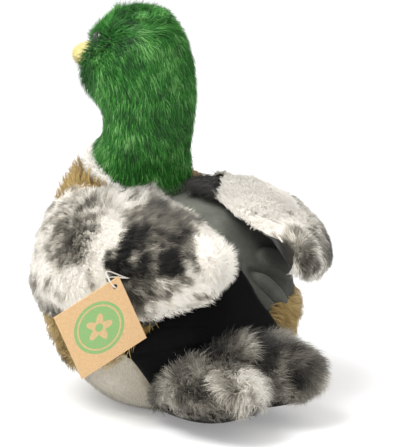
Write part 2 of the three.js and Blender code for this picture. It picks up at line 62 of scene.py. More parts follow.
def through(places, values, at):
    # A smooth line through a table. Each span is the cubic that meets both ends, with the slope at each
    # end taken from the chords beside it.
    x = np.asarray(places, float)
    y = np.asarray(values, float)
    gap = np.diff(x)
    chord = np.diff(y) / gap
    inner = (chord[1:] * gap[:-1] + chord[:-1] * gap[1:]) / (x[2:] - x[:-2])
    slope = np.concatenate([chord[:1], inner, chord[-1:]])
    at = np.clip(at, x[0], x[-1])
    i = np.clip(np.searchsorted(x, at, side="right") - 1, 0, len(x) - 2)
    h = x[i + 1] - x[i]
    t = (at - x[i]) / h
    start = y[i] * (1 + 2 * t) * (1 - t) ** 2 + slope[i] * h * t * (1 - t) ** 2
    end = y[i + 1] * t * t * (3 - 2 * t) + slope[i + 1] * h * t * t * (t - 1)
    return start + end


def evenly(values, at):
    return through(np.linspace(0, 1, len(values)), values, at)


def blend(a, b, share):
    return a + (b - a) * share


def ease(low, high, value):
    # 0 below low, 1 above high, and 3t^2 - 2t^3 between them
    t = np.clip((value - low) / (high - low), 0, 1)
    return t * t * (3 - 2 * t)


def unit(vectors):
    return vectors / np.maximum(np.linalg.norm(vectors, axis=-1, keepdims=True), 1e-9)


def flatTo(vectors, normals):
    # a direction laid along the surface: it less its part along the normal, at length 1
    vectors = np.broadcast_to(vectors, normals.shape)
    return unit(vectors - normals * (vectors * normals).sum(-1, keepdims=True))


def turnedAbout(points, axis, angle, pivot=(0, 0, 0)):
    # Rodrigues' turn about an axis through a pivot
    axis = unit(np.asarray(axis, float))
    p = points - np.asarray(pivot)
    angle = np.asarray(angle)[..., None] if np.ndim(angle) else angle
    cross = np.cross(np.broadcast_to(axis, p.shape), p)
    dot = (p * axis).sum(-1, keepdims=True)
    return p * np.cos(angle) + cross * np.sin(angle) + axis * dot * (1 - np.cos(angle)) + np.asarray(pivot)


def chances(cells, seed):
    # a fixed number from 0 to 1 for each lattice cell, by mixing the bits of its place
    h = (cells[..., 0] * 73856093) ^ (cells[..., 1] * 19349663) ^ (cells[..., 2] * 83492791)
    h = h ^ (seed * 40503 + 977)
    h = (h & 0xFFFFFFFF) * 2654435 & 0xFFFFFFFF
    h = (h ^ (h >> 13)) * 1274126177 & 0xFFFFFFFF
    return ((h ^ (h >> 16)) & 0xFFFFFF) / 0xFFFFFF


def mottle(points, size, seed=0):
    # value noise: a chance at each corner of a lattice of that size, blended smoothly across each cell
    p = points / size + 500
    cell = np.floor(p).astype(np.int64)
    f = p - cell
    f = f * f * (3 - 2 * f)
    total = np.zeros(points.shape[:-1])
    for corner in itertools.product((0, 1), repeat=3):
        weight = np.prod(np.where(np.array(corner) == 1, f, 1 - f), axis=-1)
        total += weight * chances(cell + np.array(corner), seed)
    return total


def tuftCentres(points, size, seed):
    # the nearest of a loose set of points, one at a chance place in each lattice cell
    p = points / size + 500
    cell = np.floor(p).astype(np.int64)
    best = np.full(points.shape[:-1], 1e9)
    found = np.zeros(points.shape)
    for step in itertools.product((-1, 0, 1), repeat=3):
        near = cell + np.array(step)
        centre = near + np.stack([chances(near, seed + k) for k in range(3)], -1)
        far = ((centre - p) ** 2).sum(-1)
        closer = far < best
        best = np.where(closer, far, best)
        found = np.where(closer[..., None], centre, found)
    return (found - 500) * size


# meshes

def meshPiece(name, points, faces, values=None, uv=None, normals=None):
    # One object with its place in its mesh. faces is a list of arrays, each with one face a row.
    points = (np.asarray(points, float).reshape(-1, 3) - np.array(pattern["middle"])) / 1000
    mesh = bpy.data.meshes.new(name)
    corners = np.concatenate([f.ravel() for f in faces]).astype(np.int32)
    counts = np.concatenate([np.full(len(f), f.shape[1]) for f in faces])
    mesh.vertices.add(len(points))
    mesh.vertices.foreach_set("co", points.ravel())
    mesh.loops.add(len(corners))
    mesh.loops.foreach_set("vertex_index", corners)
    mesh.polygons.add(len(counts))
    mesh.polygons.foreach_set("loop_start", np.concatenate([[0], np.cumsum(counts)[:-1]]).astype(np.int32))
    mesh.update(calc_edges=True)
    mesh.polygons.foreach_set("use_smooth", np.ones(len(counts), bool))
    for key, value in (values or {}).items():
        layer = mesh.attributes.new(key, "FLOAT", "POINT")
        layer.data.foreach_set("value", np.asarray(value, np.float32).ravel())
    if uv is not None:
        layer = mesh.uv_layers.new(name="OFBake")
        layer.data.foreach_set("uv", np.asarray(uv, np.float32).ravel())
    mesh.validate()
    if normals is not None:
        mesh.normals_split_custom_set_from_vertices(normals.reshape(-1, 3))
    piece = bpy.data.objects.new(name, mesh)
    bpy.context.scene.collection.objects.link(piece)
    return piece


def gridFaces(rows, columns, around=False):
    # four-sided faces of a grid whose columns may close into a ring
    i, j = np.meshgrid(np.arange(rows - 1), np.arange(columns if around else columns - 1), indexing="ij")
    k = (j + 1) % columns
    corners = [i * columns + j, i * columns + k, (i + 1) * columns + k, (i + 1) * columns + j]
    return np.stack(corners, -1).reshape(-1, 4)


def closedLoft(rings):
    # points and faces of rings (rows, columns, 3), with a middle point in each end
    rows, columns = rings.shape[:2]
    points = np.concatenate([rings.reshape(-1, 3), rings[:1].mean(axis=1), rings[-1:].mean(axis=1)])
    j = np.arange(columns)
    k = (j + 1) % columns
    low = np.stack([np.full(columns, rows * columns), k, j], -1)
    last = (rows - 1) * columns
    high = np.stack([np.full(columns, rows * columns + 1), last + j, last + k], -1)
    return points, [gridFaces(rows, columns, True), low, high]


def pileSkin(tone):
    # the cloth under a pile has the pile's own colours, as half way up a hair, with the painted root shade there
    return {"tone": np.clip(tone, 0, 1), "along": np.full(len(tone), 0.35), "chance": np.full(len(tone), 0.5)}


# thicknesses in metres, as Blender takes them
clothSizes = {"panel": 0.0012, "lining": 0.0005, "underside": 0.0032}


def thicken(piece, thickness, offset=-1):
    wall = piece.modifiers.new("cloth", "SOLIDIFY")
    wall.thickness = thickness
    wall.offset = offset


def dress(piece, material, body, nodes=(), fill=None):
    piece.data.materials.clear()
    piece.data.materials.append(material)
    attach(piece, body)
    if nodes:
        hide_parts(*nodes)
    return piece


# shader maths

class Wire:
    # a socket of a node tree, with the operators that add Math nodes
    def __init__(self, tree, socket):
        self.tree = tree
        self.socket = socket

    def node(self, kind, settings=None, inputs=None, output=0):
        return addNode(self.tree, kind, settings, inputs, output)

    def maths(self, operation, other=None, flipped=False):
        values = [self, other] if not flipped else [other, self]
        inputs = {i: value for i, value in enumerate(values) if value is not None}
        return self.node("ShaderNodeMath", {"operation": operation}, inputs)

    def __add__(self, other):
        return self.maths("ADD", other)

    def __radd__(self, other):
        return self.maths("ADD", other, True)

    def __sub__(self, other):
        return self.maths("SUBTRACT", other)

    def __rsub__(self, other):
        return self.maths("SUBTRACT", other, True)

    def __mul__(self, other):
        return self.maths("MULTIPLY", other)

    def __rmul__(self, other):
        return self.maths("MULTIPLY", other, True)

    def __pow__(self, other):
        return self.maths("POWER", other)

    def above(self, low, high):
        return self.node("ShaderNodeMapRange", {"interpolation_type": "SMOOTHSTEP"}, {0: self, 1: low, 2: high})


def addNode(tree, kind, settings=None, inputs=None, output=0):
    node = tree.nodes.new(kind)
    for key, value in (settings or {}).items():
        if key == "stops":
            ramp = node.color_ramp
            while len(ramp.elements) < len(value):
                ramp.elements.new(1)
            for element, (place, colour) in zip(ramp.elements, value):
                element.position = place
                element.color = colour
        else:
            setattr(node, key, value)
    for key, value in (inputs or {}).items():
        if isinstance(value, Wire):
            tree.links.new(value.socket, node.inputs[key])
        else:
            node.inputs[key].default_value = value
    return Wire(tree, node.outputs[output]) if len(node.outputs) else None


def mixColour(tree, factor, first, second, kind="MIX"):
    settings = {"data_type": "RGBA", "blend_type": kind}
    return addNode(tree, "ShaderNodeMix", settings, {0: factor, 6: first, 7: second}, 2)


def newMaterial(name, colour, roughness, build=None, **constants):
    # A Principled material. build takes the tree and the Object coordinates and returns what varies.
    material = bpy.data.materials.new(name)
    material.use_nodes = True
    material.diffuse_color = colour
    tree = material.node_tree
    shader = next(n for n in tree.nodes if n.type == "BSDF_PRINCIPLED")
    shader.inputs["Base Color"].default_value = colour
    shader.inputs["Roughness"].default_value = roughness
    for key, value in constants.items():
        shader.inputs[key].default_value = value
    if build:
        place = addNode(tree, "ShaderNodeTexCoord", output=3)
        for key, wire in build(tree, place).items():
            tree.links.new(wire.socket, shader.inputs[key])
    return material


def pileMaterial(name, stops, rootShade=0.45, tipColour=None, tipShare=0.3, roughness=0.7, gloss=0.25,
                 sheen=0.15, palePart=0.65, glow=0.0):
    # Hair: tone picks its colour from the stops, roots are painted darker as shade, tips may take a colour of
    # their own
    def build(tree, place):
        tone = addNode(tree, "ShaderNodeAttribute", {"attribute_name": "tone"}, output=2)
        along = addNode(tree, "ShaderNodeAttribute", {"attribute_name": "along"}, output=2)
        chance = addNode(tree, "ShaderNodeAttribute", {"attribute_name": "chance"}, output=2)
        colour = addNode(tree, "ShaderNodeValToRGB", {"stops": stops}, {0: tone})
        if tipColour:
            colour = mixColour(tree, along ** 2.0 * tipShare * tone.above(0.12, 0.5), colour, tipColour)
        # painted shade at the roots, less where the pile is pale; then each hair is a little darker or lighter
        # at random
        pale = tone.above(0.6, 0.95) * palePart
        root = rootShade + (1 - rootShade) * (pale + (1 - pale) * along.above(0.0, 0.6))
        shade = root * (0.88 + chance * 0.24)
        looks = {"Base Color": mixColour(tree, 1.0, colour, shade, "MULTIPLY")}
        # pale hair glows in its own colour: painted light that brightens the whites
        if glow:
            looks["Emission Color"] = mixColour(tree, tone.above(0.45, 0.9), (0, 0, 0, 1), colour)
        return looks
    middle = stops[len(stops) // 2][1]
    finish = {"Sheen Weight": sheen, "Sheen Roughness": 0.5, "Specular IOR Level": gloss,
              "Emission Strength": glow}
    return newMaterial(name, middle, roughness, build, **finish)


def velboaMaterial(name, dark, light, size=260.0, depth=0.25, sheen=0.4, gloss=0.2):
    # Short pile: fine specks on slow brushed clouds, a bump from the same specks and a soft sheen; where a panel
    # carries it, painted light and shade multiply the colour
    def build(tree, place):
        specks = addNode(tree, "ShaderNodeTexNoise", inputs={"Vector": place, "Scale": size * 6, "Detail": 2.0})
        clouds = addNode(tree, "ShaderNodeTexNoise", inputs={"Vector": place, "Scale": size / 5, "Detail": 3.0})
        share = clouds.above(0.3, 0.7) * 0.6 + specks.above(0.3, 0.75) * 0.4
        bump = addNode(tree, "ShaderNodeBump", inputs={"Strength": depth, "Distance": 0.0012,
                                                       "Height": specks * 0.7 + clouds * 0.6})
        lit = addNode(tree, "ShaderNodeAttribute", {"attribute_name": "lit"}, output=2)
        colour = mixColour(tree, 1.0, mixColour(tree, share, dark, light), 1 + lit, "MULTIPLY")
        return {"Base Color": colour, "Normal": bump}
    return newMaterial(name, light, 0.85, build, **{"Sheen Weight": sheen, "Sheen Roughness": 0.4,
                                                    "Specular IOR Level": gloss})


# forms, as the pattern has them

bodySizes = {
    "width": 148.0, "length": 148.0, "height": 128.5, "neckForward": 39.0, "neckTilt": 18.0, "seatDepth": 0.5,
    # height, half width, lean, tilt, rear kept, taper, shoulder seam
    "shares": np.array([
        [0, 0.33, 0, 0, 1, 0.1, -0.5], [0.035, 0.51, 0, 0, 1, 0.2, -0.5], [0.095, 0.66, 0, 0, 1, 0.3, -0.5],
        [0.175, 0.79, 0, 0, 1, 0.4, -0.5], [0.28, 0.912, 0, 0, 1, 0.45, -0.5],
        [0.405, 0.986, 0, 0, 0.98, 0.5, -0.5], [0.53, 1, 0.02, 0, 0.88, 0.5, -0.495],
        [0.655, 0.973, 0.08, 0, 0.78, 0.5, -0.48], [0.775, 0.892, 0.2, 0, 0.73, 0.45, -0.447],
        [0.875, 0.757, 0.41, 0.15, 0.75, 0.35, -0.371], [0.95, 0.6, 0.69, 0.5, 0.83, 0.2, -0.218],
        [0.985, 0.486, 0.87, 0.8, 0.93, 0.1, -0.036], [1, 0.405, 1, 1, 1, 0, 0.243],
    ]),
    "bellySeam": 32.0, "bellyRise": 15.0, "rump": 56.0, "rumpFoot": 21.0, "rumpCrest": 20.0, "rumpTop": 88.0,
    "rumpSeam": 45.0,
    "rumpStart": 22.0, "flankSeam": 62.0, "flankStart": -25.0,
}
headSizes = {
    "height": 93.0, "width": 56.0, "length": 67.0, "neckRadius": 26.0, "turn": 15.0, "back": 2.6,
    "ringHeight": 5.4, "ringRadius": 31.0,
    # height, half width, half length, forward, tilt
    "shares": np.array([
        [0.075, 0.93, 0.775, -0.02, 0.6], [0.17, 0.9, 0.75, -0.13, 0.2], [0.3, 0.91, 0.76, -0.17, 0],
        [0.39, 0.945, 0.83, -0.12, 0], [0.475, 0.98, 0.965, -0.01, 0], [0.56, 1, 1, 0.045, 0],
        [0.65, 1, 0.99, 0.08, 0], [0.745, 0.93, 0.885, 0.065, 0], [0.85, 0.8, 0.75, 0.04, 0],
        [0.935, 0.6, 0.56, 0.03, 0], [0.985, 0.38, 0.36, 0.03, 0], [1, 0.16, 0.15, 0.03, 0],
    ]),
}
tilt = bodySizes["neckTilt"] * degrees


def bodyStations(isBed):
    height, size, lean, lay, rear, taper, seam = bodySizes["shares"].T
    keep = np.ones(len(height))
    return {
        "low": -bodySizes["seatDepth"], "height": bodySizes["height"] + bodySizes["seatDepth"], "share": height,
        "across": size * bodySizes["width"] / 2, "length": size * bodySizes["length"] / 2,
        "y": -lean * bodySizes["neckForward"], "tilt": lay * tilt, "rear": keep if isBed else rear,
        "taper": keep * 0 if isBed else taper, "seam": seam * 90 * degrees,
    }


def headStations():
    height, across, length, forward, lay = headSizes["shares"].T
    base = headSizes["ringHeight"] + 2 * pattern["seamGap"]
    axisY = headSizes["back"] - bodySizes["neckForward"]
    first = lambda value, rest: np.concatenate([[value], rest])
    return {
        "low": bodySizes["height"] + base * math.cos(tilt), "height": headSizes["height"],
        "share": first(0, height),
        "across": first(headSizes["neckRadius"], across * headSizes["width"] / 2),
        "length": first(headSizes["neckRadius"], length * headSizes["length"] / 2),
        "y": first(base * math.sin(tilt) - bodySizes["neckForward"], axisY - forward * headSizes["length"] / 2),
        "tilt": first(tilt, lay * tilt), "rear": np.ones(len(height) + 1), "taper": np.zeros(len(height) + 1),
    }


bodyForm = bodyStations(False)
wingBed = bodyStations(True)
headForm = headStations()
headAxisY = headSizes["back"] - bodySizes["neckForward"]


def formPoint(form, angle, share, grown=0.0):
    # A point of a form at an angle and a height share: an ellipse round the form's leaning axis, moved
    # out along the slope of its profile by the grown length, its rear half shortened and narrowed
    angle, share = np.broadcast_arrays(np.asarray(angle, float), np.asarray(share, float))
    value = lambda key, at: through(form["share"], form[key], at)
    high, low = np.minimum(share + 0.006, 1), np.maximum(share - 0.006, 0)
    widening = sum(value(key, high) - value(key, low) for key in ("across", "length")) / 2
    rise = (high - low) * form["height"]
    size = np.hypot(rise, widening)
    out = rise / size * grown
    rear = np.maximum(np.sin(angle), 0)
    x = (value("across", share) + out) * np.cos(angle) * (1 - value("taper", share) * rear ** 4)
    v = (value("length", share) * np.where(rear > 0, value("rear", share), 1) + out) * np.sin(angle)
    lay = value("tilt", share)
    z = form["low"] + form["height"] * share - widening / size * grown - v * np.sin(lay)
    return np.stack([x, value("y", share) + v * np.cos(lay), z], -1)


def bodyPoint(u, v, grown=0.0):
    p = formPoint(bodyForm, u * 2 * math.pi, v, grown)
    p[..., 2] = np.maximum(p[..., 2], 0.0)
    return p


def headPoint(u, v, grown=0.0):
    # the head turns to the duck's left, less and less towards the neck
    p = formPoint(headForm, u * 2 * math.pi, v, grown)
    radius = headSizes["neckRadius"]
    share = np.clip((p[..., 2] - bodySizes["height"] - radius / 2) / radius, 0, 1)
    return turnedAbout(p, (0, 0, 1), headSizes["turn"] * share * degrees, (0, headAxisY, 0))


def onNeck(points):
    # from the neck's own frame, where its axis is +Z, to the pattern
    p = turnedAbout(np.asarray(points, float), (1, 0, 0), -tilt)
    return p + np.array([0, -bodySizes["neckForward"], bodySizes["height"]])


def fromNeck(points):
    p = points - np.array([0, -bodySizes["neckForward"], bodySizes["height"]])
    return turnedAbout(p, (1, 0, 0), tilt)


print("forms ready")

# fur

def rootsOn(surface, count, seed, weight=None, cells=(96, 64), reach=((0, 1), (0, 1))):
    # Chance places on a surface of two parameters. A cell of a grid is drawn by its area times the weight,
    # then a place in it; the normal is the cross product of the two slopes.
    rng = np.random.default_rng(seed)
    count = int(count * strandShare)
    (u0, u1), (v0, v1) = reach
    u, v = np.meshgrid(np.linspace(u0, u1, cells[0] + 1), np.linspace(v0, v1, cells[1] + 1), indexing="ij")
    p = surface(u, v)
    area = np.linalg.norm(np.cross(p[1:, :-1] - p[:-1, :-1], p[:-1, 1:] - p[:-1, :-1]), axis=-1)
    if weight is not None:
        middle = (p[1:, 1:] + p[:-1, :-1]) / 2
        area = area * weight(middle, (u[1:, 1:] + u[:-1, :-1]) / 2, (v[1:, 1:] + v[:-1, :-1]) / 2)
    pick = rng.choice(area.size, count, p=(area / area.sum()).ravel())
    i, j = np.divmod(pick, cells[1])
    ru = u0 + (i + rng.random(count)) / cells[0] * (u1 - u0)
    rv = v0 + (j + rng.random(count)) / cells[1] * (v1 - v0)
    place = surface(ru, rv)
    e = 1e-3
    su = np.where(ru + e > u1, -e, e)
    sv = np.where(rv + e > v1, -e, e)
    du = (surface(ru + su, rv) - place) / su[:, None]
    dv = (surface(ru, rv + sv) - place) / sv[:, None]
    return {"u": ru, "v": rv, "place": place, "normal": unit(np.cross(du, dv)), "du": unit(du), "dv": unit(dv),
            "chance": rng.random(count), "rng": rng}


def only(roots, keep):
    return {key: value[keep] if isinstance(value, np.ndarray) else value for key, value in roots.items()}


def furMesh(name, roots, lay, style, tone, material, body):
    # Each hair is a three-sided spike. It rises from its root and bends over into its lay: along it a
    # share t of the length, the lay part grows as 0.35 t + 0.65 t^2 and the lift as 1 - (1 - t)^2. The tips
    # of a tuft lean together towards its centre. A hair of the undercoat is straight, with no middle ring.
    rng = roots["rng"]
    root, normal = roots["place"], roots["normal"]
    count = len(root)
    turn = rng.normal(0, style["stray"], count)
    side = np.cross(normal, lay)
    lay = unit(lay * np.cos(turn)[:, None] + side * np.sin(turn)[:, None])
    length = style["length"] * rng.uniform(0.72, 1.15, count)
    lift = np.clip(style["lift"] + rng.normal(0, 0.08, count), 0.05, 0.98)
    flat = np.sqrt(1 - lift ** 2)

    def reach(t):
        return (lay * (flat * (0.35 * t + 0.65 * t * t))[:, None]
                + normal * (lift * (1 - (1 - t) ** 2))[:, None]) * length[:, None]

    middle, tip = root + reach(0.5), root + reach(1.0)
    centre = tuftCentres(root, style["tuft"], style["seed"])
    across = centre - root
    across -= normal * (across * normal).sum(-1, keepdims=True)
    across *= np.minimum(1, style["tuft"] / np.maximum(np.linalg.norm(across, axis=-1, keepdims=True), 1e-6))
    pull = np.broadcast_to(style["pull"], count)[:, None]
    tip = tip + across * pull
    wave = style.get("wave", 0) * np.sin(centre.sum(-1) * 1.7 + roots["chance"] * 2)[:, None]
    middle = middle + across * pull * 0.35 + np.cross(normal, lay) * wave
    tuftChance = chances(np.floor(centre * 3).astype(np.int64), style["seed"])
    tone = tone + (tuftChance - 0.5) * style.get("tuftTone", 0.1)
    tip[:, 2] = np.maximum(tip[:, 2], 0.4)
    middle[:, 2] = np.maximum(middle[:, 2], 0.4)
    root = root - normal * 0.8
    root[:, 2] = np.maximum(root[:, 2], 0.3)
    steps = [(root, middle - root, 1.0, 0.0), (middle, tip - root, 0.8, 0.5)]
    if style.get("straight"):
        steps = [(root, tip - root, 1.0, 0.0)]
    rings, looks = [], []
    thirds = (0, 2.0944, 4.1888)  # of a turn, in radians
    for centreLine, ahead, width, _ in steps:
        d = unit(ahead)
        s = unit(np.cross(normal + lay * 0.01, d) + 1e-6)
        b = np.cross(d, s)
        for a in thirds:
            away = s * math.cos(a) + b * math.sin(a)
            rings.append(centreLine + style["width"] * width / 2 * away)
            looks.append(unit(away * 0.6 + normal * 0.9))
    points = np.stack(rings + [tip], 1)
    normals = np.stack(looks + [unit(normal + unit(tip - root) * 0.5)], 1)
    size = points.shape[1]
    base = (np.arange(count) * size)[:, None]
    cells = math.ceil(math.sqrt(count))
    corner = np.stack(np.divmod(np.arange(count), cells), -1)[:, None]
    last = size - 4
    sides = [[last, last + 1, last + 3], [last + 1, last + 2, last + 3], [last + 2, last, last + 3], [0, 2, 1]]
    faces = [(base[:, None] + np.array(sides)).reshape(-1, 3)]
    # each hair has a cell of its own on the map, so that its colour can be kept
    low = 0.55 if last else 0.1
    maps = [[(k / 3, low), ((k + 1) / 3, low), ((k + 0.5) / 3, 1)] for k in range(3)]
    areas = [maps + [[(0, 0), (0, 0.08), (0.3, 0)]]]
    if last:
        faces.insert(0, (base[:, None] + np.array([[0, 1, 4, 3], [1, 2, 5, 4], [2, 0, 3, 5]])).reshape(-1, 4))
        areas.insert(0, [[(k / 3, 0.1), ((k + 1) / 3, 0.1), ((k + 1) / 3, low), (k / 3, low)] for k in range(3)])
    uv = [(corner + 0.06 + 0.88 * np.array(part).reshape(1, -1, 2)) / cells for part in areas]
    values = {
        "tone": np.repeat(np.clip(tone, 0, 1), size),
        "chance": np.repeat(rng.random(count), size),
        "along": np.tile([step[3] for step in steps for _ in range(3)] + [1.0], count),
    }
    piece = meshPiece(name, points, faces, values, np.concatenate([part.reshape(-1, 2) for part in uv]), normals)
    return dress(piece, material, body)


def fur(name, roots, lay, style, tone, material, body, parts=1):
    # shared out over several objects, so that none has too many faces
    for part in range(parts):
        keep = np.arange(len(roots["place"])) % parts == part
        chosen = {key: (value[keep] if isinstance(value, np.ndarray) and len(value) == len(keep) else value)
                  for key, value in style.items()}
        title = name if parts == 1 else f"{name}_{part + 1}"
        furMesh(title, only(roots, keep), lay[keep], chosen, tone[keep], material, body)
    print(name, len(roots["place"]), "hairs")


# camera, lights and floor

cameraSizes = {"azimuth": 150.0, "elevation": 15.0, "millimetresPerPixel": 0.585, "frame": (400, 447),
               "distance": 4.0, "aim": (-26.9, -15.0, 98.6)}


def addCamera():
    a, e = cameraSizes["azimuth"] * degrees, cameraSizes["elevation"] * degrees
    back = Vector((math.sin(a) * math.cos(e), -math.cos(a) * math.cos(e), math.sin(e)))
    aim = Vector((np.array(cameraSizes["aim"]) - np.array(pattern["middle"])) / 1000)
    data = bpy.data.cameras.new("camera")
    data.sensor_fit = "HORIZONTAL"
    data.sensor_width = 36
    width = cameraSizes["frame"][0] * cameraSizes["millimetresPerPixel"] / 1000
    data.lens = 36 * cameraSizes["distance"] / width
    data.clip_end = 50
    camera = bpy.data.objects.new("camera", data)
    camera.location = aim + back * cameraSizes["distance"]
    camera.rotation_euler = back.to_track_quat("Z", "Y").to_euler()
    bpy.context.scene.collection.objects.link(camera)
    bpy.context.scene.camera = camera


lightSizes = {"key": 13.5, "fill": 2.8, "world": 0.82, "floorLift": 0.22, "floorHalf": 6000}


def addLamp(name, place, size, power, aim=(0, 0, 0.1)):
    data = bpy.data.lights.new(name, "AREA")
    data.shape = "DISK"
    data.size = size
    data.energy = power
    lamp = bpy.data.objects.new(name, data)
    lamp.location = place
    lamp.rotation_euler = (Vector(place) - Vector(aim)).to_track_quat("Z", "Y").to_euler()
    bpy.context.scene.collection.objects.link(lamp)


def addStage():
    # key from above and from the camera's left, a weak fill from its right, and an even grey world
    a = cameraSizes["azimuth"] * degrees
    right = np.array([math.cos(a), math.sin(a), 0])
    back = np.array([math.sin(a), -math.cos(a), 0])
    up = np.array([0, 0, 1])
    addLamp("keyLamp", tuple(-0.5 * right + 0.45 * back + 1.25 * up), 0.9, lightSizes["key"])
    addLamp("fillLamp", tuple(1.1 * right + 0.9 * back + 0.7 * up), 1.2, lightSizes["fill"])
    world = bpy.data.worlds.new("studio")
    world.use_nodes = True
    shader = next(n for n in world.node_tree.nodes if n.type == "BACKGROUND")
    shader.inputs["Color"].default_value = (1, 1, 1, 1)
    rays = [addNode(world.node_tree, "ShaderNodeLightPath", output=k) for k in (0, 3, 6)]
    seen = addNode(world.node_tree, "ShaderNodeClamp", inputs={0: rays[0] + rays[1] + rays[2]})
    strength = seen * (1 - lightSizes["world"]) + lightSizes["world"]
    world.node_tree.links.new(strength.socket, shader.inputs["Strength"])
    bpy.context.scene.world = world
    bpy.context.scene.view_settings.view_transform = "Standard"
    material = bpy.data.materials.new("paleFloor")
    material.use_nodes = True
    tree = material.node_tree
    tree.nodes.clear()
    seen = addNode(tree, "ShaderNodeLightPath")
    diffuse = addNode(tree, "ShaderNodeBsdfDiffuse", inputs={"Color": (0.9, 0.9, 0.9, 1)})
    lift = {"Color": (1, 1, 1, 1), "Strength": seen * lightSizes["floorLift"]}
    glow = addNode(tree, "ShaderNodeEmission", inputs=lift)
    both = addNode(tree, "ShaderNodeAddShader", inputs={0: diffuse, 1: glow})
    addNode(tree, "ShaderNodeOutputMaterial", inputs={0: both})
    corners = np.array([[-1, -1, 0], [1, -1, 0], [1, 1, 0], [-1, 1, 0]]) * lightSizes["floorHalf"]
    floor = meshPiece("floor", corners, [np.array([[0, 1, 2, 3]])])
    floor.data.materials.append(material)


addCamera()
addStage()
print("stage ready")

# materials

fillingCloth = newMaterial("fillingCloth", paint(232, 228, 216), 0.95)
greenPile = pileMaterial(
    "greenPile", [(0.0, paint(6, 52, 10)), (0.45, paint(33, 116, 27)), (0.75, paint(68, 160, 52)),
                  (1.0, paint(154, 214, 130))], 0.42, gloss=0.4, roughness=0.42, sheen=0.0)
brownPile = pileMaterial(
    "brownPile", [(0.0, paint(96, 74, 36)), (0.5, paint(170, 140, 80)), (1.0, paint(222, 195, 134))], 0.6)
# the mottled and white piles glow a little in their pale tones: painted light
mottledPile = pileMaterial(
    "mottledPile", [(0.0, paint(16, 15, 14)), (0.25, paint(54, 50, 43)), (0.5, paint(126, 120, 106)),
                    (0.7, paint(214, 207, 193)), (0.86, paint(255, 250, 240))], 0.6,
    paint(240, 234, 220), 0.22, sheen=0.3, palePart=0.95, glow=0.15)
whitePile = pileMaterial(
    "whitePile", [(0.0, paint(214, 208, 196)), (1.0, paint(253, 250, 242))], 0.75, glow=0.12)
creamPile = pileMaterial("creamPile", [(0.0, paint(172, 162, 144)), (1.0, paint(238, 232, 218))], 0.65)
yellowPile = pileMaterial("yellowPile", [(0.0, paint(240, 218, 128)), (1.0, paint(255, 246, 184))], 0.8)
blackVelboa = velboaMaterial("blackVelboa", paint(4, 4, 5), paint(13, 13, 14), sheen=0.03, gloss=0.1)
greyVelboa = velboaMaterial("greyVelboa", paint(60, 62, 56), paint(88, 89, 82), sheen=0.15)
creamVelboa = velboaMaterial("creamVelboa", paint(172, 164, 146), paint(220, 214, 198))
whiteBacking = velboaMaterial("whiteBacking", paint(214, 208, 198), paint(246, 242, 236))
yellowVelboa = velboaMaterial("yellowVelboa", paint(240, 218, 130), paint(255, 242, 176))
eyePlastic = newMaterial("eyePlastic", paint(14, 13, 13), 0.12, **{"Coat Weight": 0.6, "Coat Roughness": 0.05})

# body panels

print("body")


def bodyRegions(p):
    # signed distances, above 0 inside: belly below its rising seam, the black rump, the grey back and flanks
    x, y, z = p[..., 0], p[..., 1], p[..., 2]
    s = bodySizes
    belly = (s["bellySeam"] + y * math.tan(s["bellyRise"] * degrees) - z) * math.cos(s["bellyRise"] * degrees)
    half = np.interp(z, [0, s["rumpSeam"], s["rumpTop"]], [s["rumpFoot"], s["rump"], s["rumpCrest"]])
    half = half * np.where(x < 0, 1 - 0.2 * ease(90, 70, z), 1)  # the cloth is drawn in on the duck's right
    back = np.minimum.reduce([half - np.abs(x), y - s["rumpStart"], s["rumpTop"] - z])
    flank = np.minimum(z - s["flankSeam"], y - s["flankStart"])
    return belly, back, flank


folds = [
    # centre, half length as a vector, half width, height: loose cloth of the right flank, under the wing
    (-50, 34, 83, 15, 4, 8, 9, 4.6), (-40, 45, 70, 11, 1, 13, 5, 3.2),
]


def foldHeight(p):
    # each fold is a flat-topped swell that ends in a steep edge, with a dip beyond it
    height = np.zeros(len(p))
    for x, y, z, ax, ay, az, width, high in folds:
        q = p - np.array([x, y, z])
        axis = np.array([ax, ay, az])
        reach = np.linalg.norm(axis)
        along = q @ axis / reach
        across = np.linalg.norm(q - along[:, None] * axis / reach, axis=-1)
        far = np.hypot(along / reach, across / width)
        dip = 1.8 * ease(0.3, 0.0, np.abs(far - 1.2)) * (height < 0.5)
        height = np.maximum(height, high * ease(1.08, 0.8, far) * (1 - 0.3 * far)) - dip
    return height


